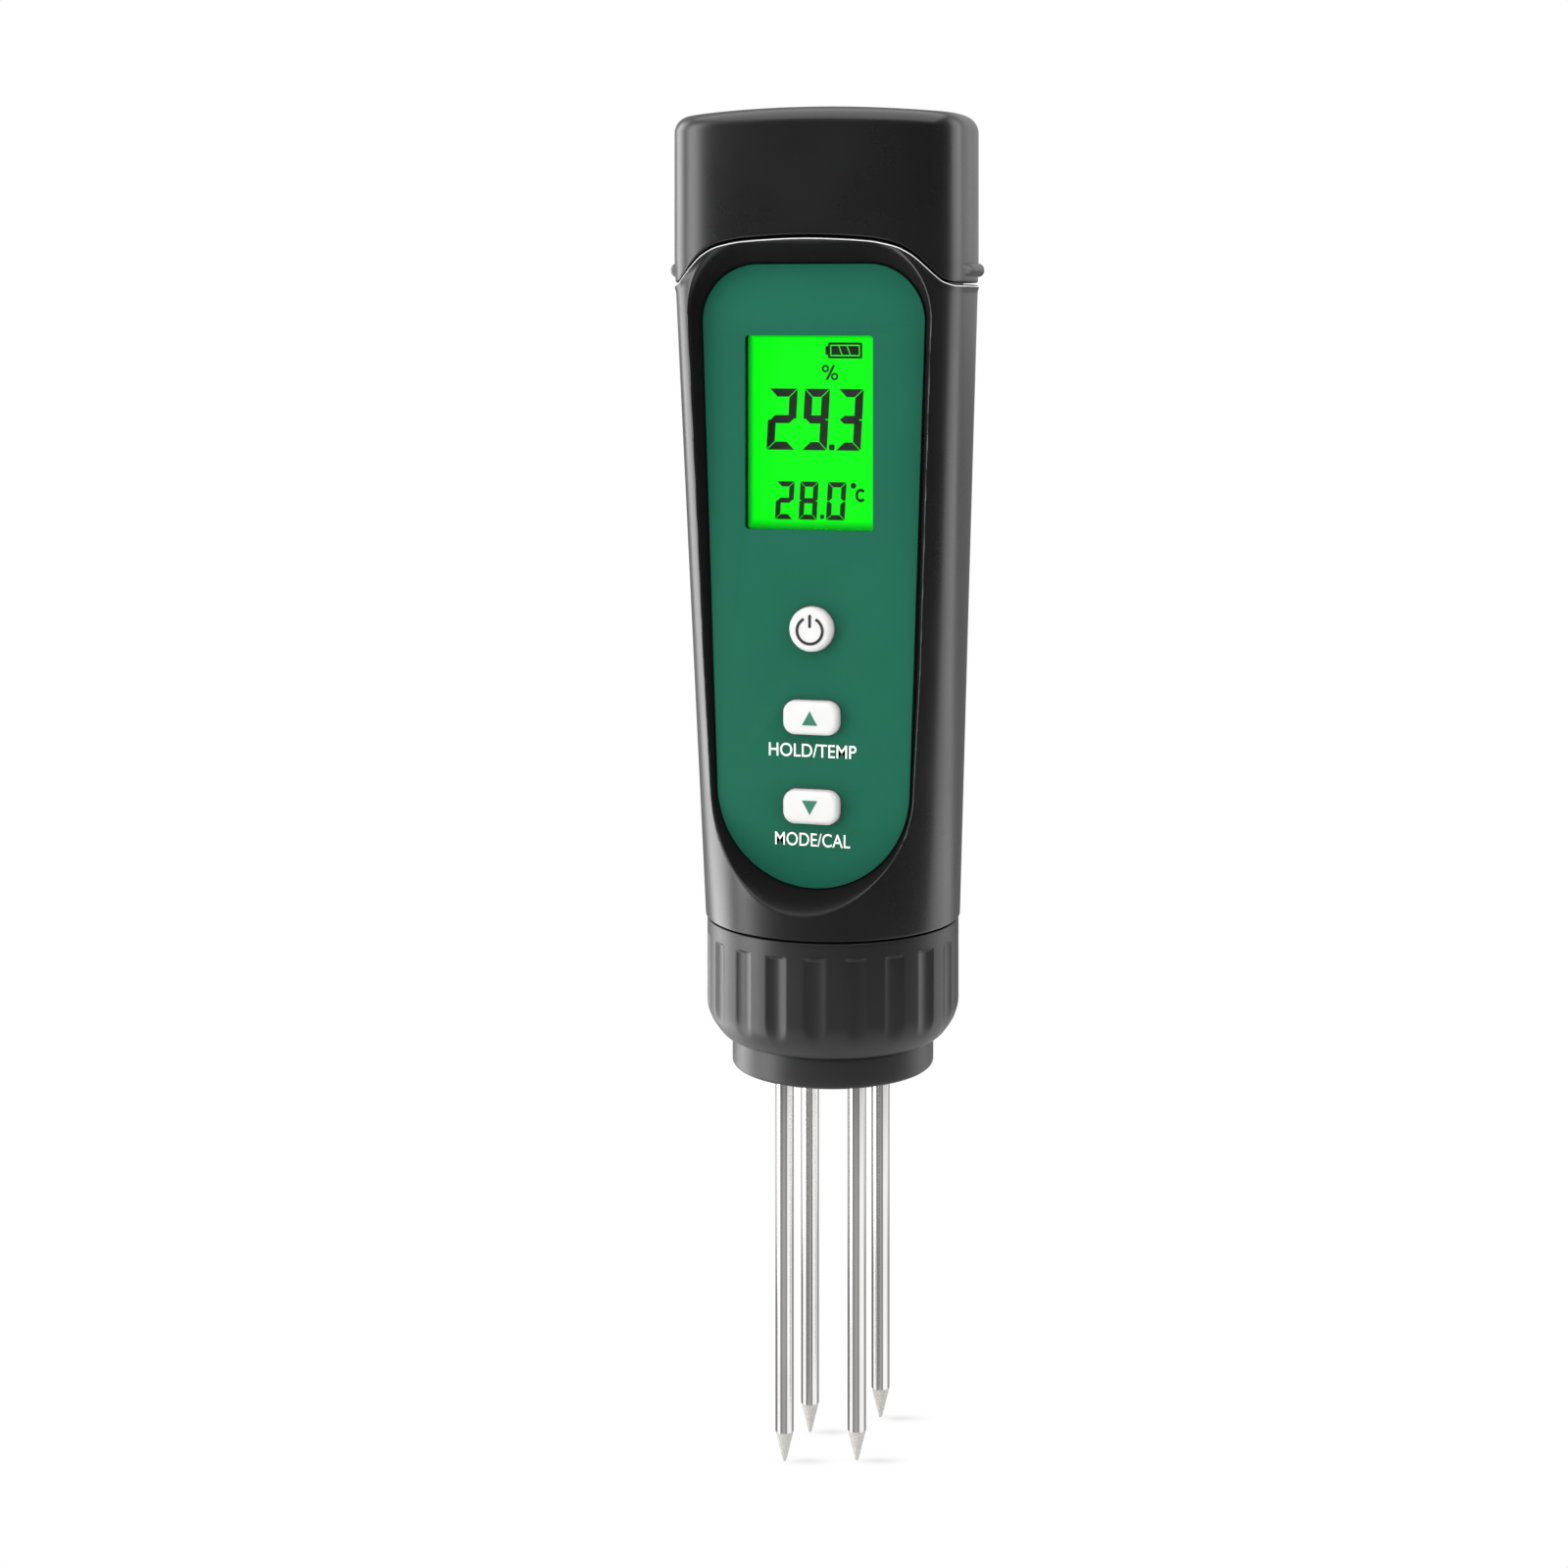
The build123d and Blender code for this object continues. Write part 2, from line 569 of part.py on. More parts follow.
def sensor_head():
    neck_r = NOSE_R - 0.6
    head = revolve_profile([
        (0, 0), (NOSE_R - 0.5, 0), (NOSE_R, 0.5), (NOSE_R, 4.15), (neck_r, 4.2),
        (neck_r, 6.55), (HEAD_R, 6.55), (HEAD_R, FLANGE_Z1), (PLUG_R, FLANGE_Z1),
        (PLUG_R, RING_Z0), (RING_R, RING_Z0), (RING_R, RING_Z1), (PLUG_R, RING_Z1),
        (PLUG_R, PLUG_Z1), (0, PLUG_Z1),
    ])
    head = head - cyl_z(HEAD_BORE, BORE_Z0, DISC_Z0) - cyl_z(DISC_BORE, DISC_Z0, 19.0)
    head = head - rods(PIN_R + 0.02, -1, 0.1, PIN_XY) - rods(PIN_ROOT_R + 0.02, -1, 5, PIN_XY)
    return largest(head)


def potting():
    fill = cyl_z(HEAD_BORE - 0.02, BORE_Z0 + 0.02, 12.4)
    fill = fill - rods(PIN_ROOT_R + 0.02, 2, 15, PIN_XY)
    return largest(fill - cyl_z(1.15, 3.0, 6.2))


def thermistor():
    return union(cyl_z(1.1, 3.6, 5.0), Solid.make_sphere(1.1, Plane((0, 0, 5.0))))


def head_o_ring():
    return Solid.make_torus(11.36, 0.58, Plane((0, 0, (RING_Z0 + RING_Z1) / 2)))


def seat_washer():
    return cyl_z(HEAD_R, FLANGE_Z1 + 0.08, 10.4) - cyl_z(SPIGOT_BORE + 0.05, 9, 11)


def head_plug():
    disc = cyl_z(DISC_BORE - 0.03, DISC_Z0 + 0.05, PLUG_Z1)
    return largest(disc - rods(0.42, 16, 20, SOCKET_PINS))


def head_pins():
    return Compound([largest(union(cyl_z(0.4, 16.4, 24.6, x, y),
                                   cone_z(0.4, 0.15, 24.6, 0.4, x, y)))
                     for x, y in SOCKET_PINS])


def lead_wires():
    """Leads from the top of each probe pin to the foot of a head pin."""
    up = Vector(0, 0, 1)
    leads = []
    for (px, py), (hx, hy) in zip(PIN_XY, SOCKET_PINS):
        start = Vector(px, py, PIN_ROOT_Z1 + 0.05)
        path = Edge.make_spline([
            start,
            Vector((2 * px + hx) / 3, (2 * py + hy) / 3, 15.1),
            Vector((px + 2 * hx) / 3, (py + 2 * hy) / 3, 15.5),
            Vector(hx, hy, 16.3),
        ], tangents=[up, up])
        profile = Wire.make_circle(LEAD_R, Plane(origin=start, z_dir=(0, 0, 1)))
        leads.append(Solid.sweep(Face(profile), Wire([path])))
    return Compound(leads)


def probe_pin(x, y, z0):
    return union(cone_z(0.22, PIN_R, z0, PIN_TIP, x, y),
                 cyl_z(PIN_R, z0 + PIN_TIP, 0.05, x, y),
                 cyl_z(PIN_ROOT_R, 0, PIN_ROOT_Z1, x, y))


def collar_ring():
    """Ring with grip flutes outside and a lip below that carries the head's flange."""
    collar = revolve_profile([
        (LIP_BORE, COL_Z0), (14.7, COL_Z0), (15.55, 5.3), (16.5, 6.7), (COL_R, 8.2),
        (COL_R, COL_Z1 - 0.3), (COL_R - 0.3, COL_Z1), (COL_BORE, COL_Z1),
        (COL_BORE, LIP_Z1), (LIP_BORE, LIP_Z1),
    ])
    # cutter radius from the flute's width and depth
    cutter_r = ((FLUTE_W / 2) ** 2 + FLUTE_D ** 2) / (2 * FLUTE_D)
    reach = COL_R - FLUTE_D + cutter_r
    for i in range(FLUTES):
        angle = math.radians(360 / FLUTES * i + FLUTE_TURN)
        collar = collar - cyl_z(cutter_r, FLUTE_Z0, FLUTE_Z1,
                                reach * math.cos(angle), reach * math.sin(angle))
    return largest(collar)


# ---------------------------------------------------------------- write the pieces
os.makedirs("parts", exist_ok=True)

# each of these files is named after its function
for piece in (
    main_housing, battery_cap, cap_seal_ring, cap_contact_plate, cap_screws, cap_spring,
    front_overlay, display_window, lcd_panel, lcd_backlight, zebra_strip, lcd_frame,
    power_button, keypad_membrane, main_pcb, tact_switches, microcontroller,
    pcb_components, pcb_screws, battery_tray, batteries, battery_contacts,
    battery_spring, tray_screws, socket_connector, sensor_head, potting, thermistor,
    head_o_ring, seat_washer, head_plug, head_pins, lead_wires, collar_ring,
):
    save(piece(), piece.__name__)

save(arrow_button(UP_KEY_Z), "up_button")
save(arrow_button(DOWN_KEY_Z), "down_button")
for key_name, key_z in zip(("power", "up", "down"), KEY_ZS):
    save(plunger(key_z), f"{key_name}_plunger")
for (pin_name, _, _, raised), (pin_x, pin_y) in zip(PIN_TABLE, PIN_XY):
    save(probe_pin(pin_x, pin_y, PIN_Z0 + raised), f"probe_pin_{pin_name}")
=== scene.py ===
import json
import math
import bpy
import bmesh
import numpy as np
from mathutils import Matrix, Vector


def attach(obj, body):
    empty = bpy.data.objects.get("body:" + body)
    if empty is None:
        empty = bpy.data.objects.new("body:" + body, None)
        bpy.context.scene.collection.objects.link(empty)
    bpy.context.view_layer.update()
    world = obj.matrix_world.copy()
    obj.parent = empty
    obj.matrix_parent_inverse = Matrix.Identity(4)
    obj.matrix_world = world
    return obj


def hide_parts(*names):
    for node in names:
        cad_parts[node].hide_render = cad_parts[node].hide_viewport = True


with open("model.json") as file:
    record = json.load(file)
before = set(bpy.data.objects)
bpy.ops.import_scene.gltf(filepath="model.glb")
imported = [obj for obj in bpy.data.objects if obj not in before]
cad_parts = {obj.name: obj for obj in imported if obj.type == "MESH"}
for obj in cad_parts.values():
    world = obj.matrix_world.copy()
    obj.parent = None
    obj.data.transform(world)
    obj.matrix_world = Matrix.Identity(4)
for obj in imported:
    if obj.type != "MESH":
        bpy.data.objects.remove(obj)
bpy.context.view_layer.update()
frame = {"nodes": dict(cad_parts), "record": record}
MM = 0.001
SC = bpy.context.scene
COL = SC.collection
NODES = frame["nodes"]

# ------------------------------------------------------------------ section functions, in mm
R_BOT, Z_BOT, Z_SEC = 17.15, 20.1, 108.0
HALF_W, B_FRONT, N_FRONT, B_BACK, N_BACK, Y_C = 19.8, 12.2, 4.2, 16.5, 2.8, -2.6
WALL, NECK_OUT, NECK_IN, Z_NECK, Z_NECK0 = 2.0, -2.05, -3.65, 119.5, 102.0
Z_SEAM, SEAM_GAP, Z_TOP, CAP_WALL, CROWN_R = 104.7, 0.25, 128.3, 1.9, 163.0
Y_FLOOR, FLOOR_T, OVERLAY_T = -9.9, 1.5, 0.5
Y_FACE = Y_FLOOR - OVERLAY_T
BIG_Z, BIG_R, UP_X, UP_Z, UP_R = 38.5, 13.2, 7.55, 99.8, 7.7
LCD_W, LCD_H, LCD_ZC, LCD_X = 17.4, 25.6, 85.2, -0.55
POWER_Z, POWER_R, KEY_W, KEY_H, KEY_R, UP_KEY_Z, DOWN_KEY_Z = 59.5, 2.95, 7.55, 4.45, 1.6, 47.9, 36.2
COL_R, COL_Z1, COL_Z0, LIP_BORE, COL_BORE = 16.95, 19.8, 4.3, 13.75, 14.62
FLUTES, FLUTE_W, FLUTE_D, FLUTE_Z1 = 20, 2.7, 0.6, 17.8
NOSE_R, THREAD_R, PLUG_R, SPIGOT_BORE = 13.55, 14.5, 11.85, 12.0
PIN_R, PIN_HALF, PIN_TURN, PIN_Z0, PIN_TIP, PIN_ROOT_R = 1.25, 5.1, -4.0, -53.2, 4.2, 1.1
PIN_SHORT = (0.35, 1.95, 0.0, 3.5)


def sec_xy(a, z, off=0.0):
    """Outline points of the moulded body at angles a, height z (array or number), moved out by off."""
    a = np.asarray(a, float)

    def raw(q):
        t = np.clip((z - Z_BOT) / (Z_SEC - Z_BOT), 0.0, 1.0)
        c, s = np.cos(q), np.sin(q)
        b = np.where(s >= 0, B_BACK, B_FRONT)
        n = np.where(s >= 0, N_BACK, N_FRONT)
        r = (np.abs(c / HALF_W) ** n + np.abs(s / b) ** n) ** (-1.0 / n)
        return (1 - t) * R_BOT * c + t * r * c, (1 - t) * R_BOT * s + t * (Y_C + r * s)

    x, y = raw(a)
    h = 2e-3
    x1, y1 = raw(a + h)
    x0, y0 = raw(a - h)
    tx, ty = x1 - x0, y1 - y0
    l = np.hypot(tx, ty)
    return x + off * ty / l, y - off * tx / l


def pchip(xk, yk):
    xk, yk = np.array(xk, float), np.array(yk, float)
    h = np.diff(xk)
    d = np.diff(yk) / h
    m = np.zeros_like(yk)
    for i in range(1, len(xk) - 1):
        if d[i - 1] * d[i] > 0:
            w1, w2 = 2 * h[i] + h[i - 1], h[i] + 2 * h[i - 1]
            m[i] = (w1 + w2) / (w1 / d[i - 1] + w2 / d[i])

    def f(x):
        x = np.clip(np.asarray(x, float), xk[0], xk[-1])
        i = np.clip(np.searchsorted(xk, x, side="right") - 1, 0, len(xk) - 2)
        t = (x - xk[i]) / h[i]
        return (yk[i] * (1 + 2 * t) * (1 - t) ** 2 + h[i] * m[i] * t * (1 - t) ** 2
                + yk[i + 1] * t * t * (3 - 2 * t) + h[i] * m[i + 1] * t * t * (t - 1))
    return f


_arch = pchip([0, 8, 12, 14, 16, 17, 18, 19.4], [110.85, 110.5, 109.75, 108.75, 107.0, 106.0, 105.15, 104.7])


def z_seam(x, y):
    return np.where(y < Y_C, _arch(np.abs(x)), Z_SEAM)


_dirs = np.radians(np.arange(0, 360, 1.5))
_nx, _nz = np.cos(_dirs), np.sin(_dirs)


def pocket_t(x, z, grow=0.0):
    """Below 0 inside the panel outline, then rising with the drafted wall."""
    a1 = BIG_Z * _nz + BIG_R + grow
    b1 = 1.9 * _nz + 4.0
    a2 = UP_X * np.abs(_nx) + UP_Z * _nz + UP_R + grow
    b2 = 1.8 * _nz + 4.0
    out = np.full(np.shape(x), -1e9)
    for k in range(len(_dirs)):
        p = x * _nx[k] + z * _nz[k]
        out = np.maximum(out, np.minimum((p - a1[k]) / b1[k], (p - a2[k]) / b2[k]))
    return out


def smax(a, b, k):
    h = np.maximum(k - np.abs(a - b), 0.0) / k
    return np.maximum(a, b) + h * h * k * 0.25


def smin(a, b, k):
    return -smax(-a, -b, k)


def pocket_y(x, z, grow=0.0, back=0.0):
    t = pocket_t(x, z, grow)
    t = smax(t, np.zeros_like(t), 0.05)
    return Y_FLOOR + back - 10.1 * t


# ------------------------------------------------------------------ mesh helpers
def new_obj(name, verts, faces, smooth=True):
    me = bpy.data.meshes.new(name)
    me.from_pydata([tuple(v) for v in (np.asarray(verts, float) * MM)], [], faces)
    me.validate()
    me.update()
    ob = bpy.data.objects.new(name, me)
    COL.objects.link(ob)
    if smooth:
        me.polygons.foreach_set("use_smooth", [True] * len(me.polygons))
    return ob


def fix_normals(ob):
    bm = bmesh.new()
    bm.from_mesh(ob.data)
    bmesh.ops.recalc_face_normals(bm, faces=bm.faces)
    bm.to_mesh(ob.data)
    bm.free()
    return ob


def ring_mesh(name, rings, start=None, end=None, wrap=False):
    """Rings of equal length joined by quads; start and end close the ends with a fan to a point."""
    n = len(rings[0])
    v = np.concatenate(rings, 0)
    faces = []
    m = len(rings)
    for k in range(m if wrap else m - 1):
        a, b = k * n, ((k + 1) % m) * n
        for i in range(n):
            j = (i + 1) % n
            faces.append((a + i, a + j, b + j, b + i))
    extra = []
    if start is not None:
        extra.append(start)
        c = len(v)
        faces += [(c, (i + 1) % n, i) for i in range(n)]
    if end is not None:
        extra.append(end)
        c = len(v) + len(extra) - 1
        b = (m - 1) * n
        faces += [(c, b + i, b + (i + 1) % n) for i in range(n)]
    if extra:
        v = np.concatenate([v, np.array(extra, float)], 0)
    return fix_normals(new_obj(name, v, faces))


def lathe(name, prof, n=160, wrap=False, cx=0.0, cy=0.0):
    """prof: (r, z) points from axis to axis, or a closed loop with wrap."""
    a = np.linspace(0, 2 * math.pi, n, endpoint=False)
    rings, start, end = [], None, None
    pts = list(prof)
    if not wrap and pts[0][0] == 0:
        start = (cx, cy, pts.pop(0)[1])
    if not wrap and pts[-1][0] == 0:
        end = (cx, cy, pts.pop()[1])
    for r, z in pts:
        rings.append(np.stack([cx + r * np.cos(a), cy + r * np.sin(a), np.full(n, z)], 1))
    return ring_mesh(name, rings, start, end, wrap)


def arc(c, r, a0, a1, n):
    return [(c[0] + r * math.cos(math.radians(a0 + (a1 - a0) * i / n)), c[1] + r * math.sin(math.radians(a0 + (a1 - a0) * i / n))) for i in range(n + 1)]


def sharp_by_angle(ob, deg=35):
    for e in ob.data.edges:
        e.use_edge_sharp = False
    bm = bmesh.new()
    bm.from_mesh(ob.data)
    for e in bm.edges:
        e.smooth = not (len(e.link_faces) == 2 and e.calc_face_angle(0) > math.radians(deg))
    bm.to_mesh(ob.data)
    bm.free()


def boolean_cut(ob, cutters):
    for c in cutters:
        m = ob.modifiers.new("cut", "BOOLEAN")
        m.operation = "DIFFERENCE"
        m.object = c
        m.solver = "EXACT"
    dg = bpy.context.evaluated_depsgraph_get()
    me = bpy.data.meshes.new_from_object(ob.evaluated_get(dg))
    ob.modifiers.clear()
    ob.data = me
    for c in cutters:
        bpy.data.objects.remove(c)
    return ob


def rrect(w, h, r, n=10):
    """Rounded rectangle outline, counter-clockwise, in (x, z)."""
    pts = []
    for cx, cz, a0 in ((w / 2 - r, h / 2 - r, 0), (-w / 2 + r, h / 2 - r, 90), (-w / 2 + r, -h / 2 + r, 180), (w / 2 - r, -h / 2 + r, 270)):
        pts += [(cx + r * math.cos(math.radians(a0 + 90 * i / n)), cz + r * math.sin(math.radians(a0 + 90 * i / n))) for i in range(n + 1)]
    return pts


def circle(r, n=96):
    return [(r * math.cos(2 * math.pi * i / n), r * math.sin(2 * math.pi * i / n)) for i in range(n)]


def hull_outline(off=0.0, n=40):
    """Panel outline in (x, z)."""
    r1, r2 = BIG_R + off, UP_R + off
    dx, dz = UP_X, UP_Z - BIG_Z
    d = math.hypot(dx, dz)
    a = math.atan2(dz, dx) - math.acos((r1 - r2) / d)
    pts = []
    for i in range(3 * n + 1):
        q = -math.pi - a + (2 * a + math.pi) * i / (3 * n)
        pts.append((r1 * math.cos(q), BIG_Z + r1 * math.sin(q)))
    for i in range(n + 1):
        q = a + (math.pi / 2 - a) * i / n
        pts.append((UP_X + r2 * math.cos(q), UP_Z + r2 * math.sin(q)))
    for i in range(n + 1):
        q = math.pi / 2 + (math.pi / 2 - a) * i / n
        pts.append((-UP_X + r2 * math.cos(q), UP_Z + r2 * math.sin(q)))
    return pts


def flat_shape(name, loops, y_front, depth, bevel=0.0, res=2):
    """Flat plate in the XZ plane with holes (loops[1:] and on), front face at y_front, from a filled curve."""
    cu = bpy.data.curves.new(name, "CURVE")
    cu.dimensions = "2D"
    cu.fill_mode = "BOTH"
    cu.extrude = max(depth / 2 - bevel, 1e-4)
    cu.bevel_depth = bevel
    cu.bevel_resolution = res
    cu.offset = -bevel
    for lp in loops:
        sp = cu.splines.new("POLY")
        sp.points.add(len(lp) - 1)
        for p, (x, z) in zip(sp.points, lp):
            p.co = (x, z, 0, 1)
        sp.use_cyclic_u = True
    tmp = bpy.data.objects.new(name + "_c", cu)
    COL.objects.link(tmp)
    dg = bpy.context.evaluated_depsgraph_get()
    me = bpy.data.meshes.new_from_object(tmp.evaluated_get(dg))
    bpy.data.objects.remove(tmp)
    co = np.zeros(len(me.vertices) * 3)
    me.vertices.foreach_get("co", co)
    co = co.reshape(-1, 3)
    out = np.stack([co[:, 0], y_front + depth / 2 - co[:, 2], co[:, 1]], 1) * MM
    me.vertices.foreach_set("co", out.ravel())
    bm = bmesh.new()
    bm.from_mesh(me)
    bmesh.ops.remove_doubles(bm, verts=bm.verts, dist=2e-7)
    bmesh.ops.recalc_face_normals(bm, faces=bm.faces)
    bm.to_mesh(me)
    bm.free()
    me.name = name
    ob = bpy.data.objects.new(name, me)
    COL.objects.link(ob)
    return ob


def join(name, obs):
    vs, fs, off = [], [], 0
    for o in obs:
        co = np.zeros(len(o.data.vertices) * 3)
        o.data.vertices.foreach_get("co", co)
        vs.append(co.reshape(-1, 3) / MM)
        fs += [tuple(i + off for i in p.vertices) for p in o.data.polygons]
        off += len(o.data.vertices)
        bpy.data.objects.remove(o)
    return new_obj(name, np.concatenate(vs, 0), fs, smooth=False)


# ------------------------------------------------------------------ housing
def angle_set(nf, nb, widths=None):
    """Angles counter-clockwise from 0; dense over the front half (180 to 360 degrees)."""
    back = np.linspace(0, math.pi, nb, endpoint=False)
    front = np.linspace(math.pi, 2 * math.pi, nf, endpoint=False)
    return np.concatenate([back, front])


def skin(A, z, off=0.0):
    x, y = sec_xy(A, z, off)
    return x, y


A = angle_set(440, 150)


def housing():
    rings = []
    n = len(A)

    def ring(x, y, z):
        rings.append(np.stack([x, y, np.broadcast_to(z, x.shape)], 1))

    # inside, from the cavity floor up
    def inner(z, off):
        zz = min(z, Z_SEC)
        x, y = sec_xy(A, zz, off)
        front = y < 0
        yp = smax(pocket_y(x, np.full(n, z), 1.8, FLOOR_T), y, 0.6)
        return x, np.where(front, yp, y)
    x, y = inner(22.7, -WALL)
    for s in (0.25, 0.6, 0.94):
        ring(x * s, y * s, 22.7)
    for z in list(np.linspace(22.7, 46, 34)) + list(np.linspace(48, 97, 30)):
        x, y = inner(z, -WALL)
        ring(x, y, z)
    for s, z in ((0.0, 98.0), (0.5, 99.3), (1.0, 100.5)):
        off = -WALL * (1 - s) + NECK_IN * s
        x, y = inner(z if s == 0 else Z_SEC, off)
        yp = pocket_y(x, np.full(n, z), 1.8, FLOOR_T)
        ring(x, np.where(y < 0, smax(yp, y, 0.6), y), z)
    for z in np.linspace(101, 112, 16):
        x, y = sec_xy(A, Z_SEC, NECK_IN)
        yp = pocket_y(x, np.full(n, z), 1.8, FLOOR_T)
        ring(x, np.where(y < 0, smax(yp, y, 0.4), y), z)
    # neck: inside up, rounded rim, outside down with the gasket groove
    for z, off in [(115.0, NECK_IN), (118.9, NECK_IN)] + [(Z_NECK - 0.45 + 0.45 * math.sin(t), (NECK_IN + 0.45) - 0.45 * math.cos(t)) for t in np.radians([20, 45, 70, 90])]:
        x, y = sec_xy(A, Z_SEC, off)
        ring(x, y, z)
    g = NECK_OUT - 0.85
    for z, off in [(Z_NECK, NECK_OUT - 0.45), (Z_NECK - 0.06, NECK_OUT - 0.22), (Z_NECK - 0.2, NECK_OUT - 0.07), (Z_NECK - 0.45, NECK_OUT),
                   (116, NECK_OUT), (114.0, NECK_OUT), (113.92, NECK_OUT - 0.04), (113.88, NECK_OUT - 0.12), (113.9, g + 0.1), (113.8, g), (112.1, g), (112.0, g + 0.1), (112.02, NECK_OUT - 0.12), (111.98, NECK_OUT - 0.04), (111.9, NECK_OUT)]:
        x, y = sec_xy(A, Z_SEC, off)
        ring(x, y, z)
    # shoulder under the cap, out to the skin, following the seam
    xs, ys = sec_xy(A, Z_SEC, NECK_OUT)
    ring(xs, ys, z_seam(*sec_xy(A, Z_SEC, 0.0)) + 0.06)
    for off in (-1.6, -1.0, -0.55):
        x, y = sec_xy(A, Z_SEC, off)
        zs = z_seam(*sec_xy(A, Z_SEC, 0.0))
        ring(x, y, zs)
    zs = z_seam(*sec_xy(A, Z_SEC, 0.0))
    r = 0.38
    for t in np.radians([15, 35, 55, 75, 90]):
        off = -r + (r + 0.16) * math.sin(t)
        z = zs - r + r * math.cos(t)
        x, y = sec_xy(A, np.minimum(z, Z_SEC), off)
        yp = pocket_y(x, z)
        ring(x, np.where(y < 0, smax(yp, y, 0.75), y), z)
    # outer skin, down to the bottom
    vs = np.concatenate([np.linspace(0, 0.012, 12, endpoint=False), np.linspace(0.012, 0.16, 74, endpoint=False), np.linspace(0.16, 0.80, 90, endpoint=False), np.linspace(0.80, 0.875, 22, endpoint=False), np.linspace(0.875, 0.988, 130, endpoint=False), np.linspace(0.988, 1.0, 5)])
    rb = 0.14
    for v in vs:
        z = (zs - r) * (1 - v) + (Z_BOT + rb) * v
        if v == 0:
            continue
        bead = 0.16 * np.clip(1 - (zs - r - z) / 0.9, 0, 1) ** 2
        x, y = sec_xy(A, np.minimum(z, Z_SEC), bead)
        yp = pocket_y(x, z)
        soft = 0.75 + 3.0 * np.clip((28.0 - z) / 5.0, 0, 1) ** 1.5
        ring(x, np.where(y < 0, smax(yp, y, soft), y), z)
    # bottom edge, spigot, bore, bulkhead
    for t in np.radians([20, 45, 70, 90]):
        x, y = sec_xy(A, Z_BOT, -rb + rb * math.cos(t))
        ring(x, y, Z_BOT + rb - rb * math.sin(t))
    for rr, z in ((15.5, 20.1), (THREAD_R + 0.15, 20.1), (THREAD_R, 19.95)):
        ring(rr * np.cos(A), rr * np.sin(A), z)
    # coarse thread crests on the spigot, drawn as rounded ridges inside the plain diameter
    zz = 19.2
    while zz > 11.6:
        for dz, dr in ((0.0, 0.0), (-0.55, 0.0), (-0.8, 0.45), (-1.2, 0.45), (-1.45, 0.0)):
            rr = THREAD_R - dr
            ring(rr * np.cos(A), rr * np.sin(A), zz + dz)
        zz -= 1.9
    for rr, z in ((THREAD_R, 10.9), (THREAD_R - 0.12, 10.6), (THREAD_R - 0.4, 10.5), (12.4, 10.5), (12.1, 10.62), (12.0, 10.9), (12.0, 20.0), (11.9, 20.1), (6.0, 20.1)):
        ring(rr * np.cos(A), rr * np.sin(A), z)
    ob = ring_mesh("housing_shell", rings, (0, 0, 22.7), (0, 0, 20.1))
    cutters = []

    def prism(loop, y0, y1, x=0.0, z=0.0):
        k = len(loop)
        v = [(x + a, y0, z + b) for a, b in loop] + [(x + a, y1, z + b) for a, b in loop]
        f = [tuple(range(k)), tuple(range(2 * k - 1, k - 1, -1))] + [(i, i + k, (i + 1) % k + k, (i + 1) % k) for i in range(k)]
        return fix_normals(new_obj("cutter", v, f, smooth=False))
    cutters.append(prism(rrect(LCD_W + 0.4, LCD_H + 0.4, 0.6), Y_FLOOR - 0.6, -6.5, LCD_X, LCD_ZC))
    cutters.append(prism(rrect(12.4, 33.0, 2.5), Y_FLOOR - 0.6, -8.0, 0, 47.9))
    for z in (POWER_Z, UP_KEY_Z, DOWN_KEY_Z):
        cutters.append(prism(circle(1.45, 40), -9.4, -6.5, 0, z))
    hole = lathe("cutter", [(0, 18), (5.0, 18), (5.0, 24), (0, 24)], 64)
    cutters.append(hole)
    boolean_cut(ob, cutters)
    sharp_by_angle(ob, 42)
    return ob


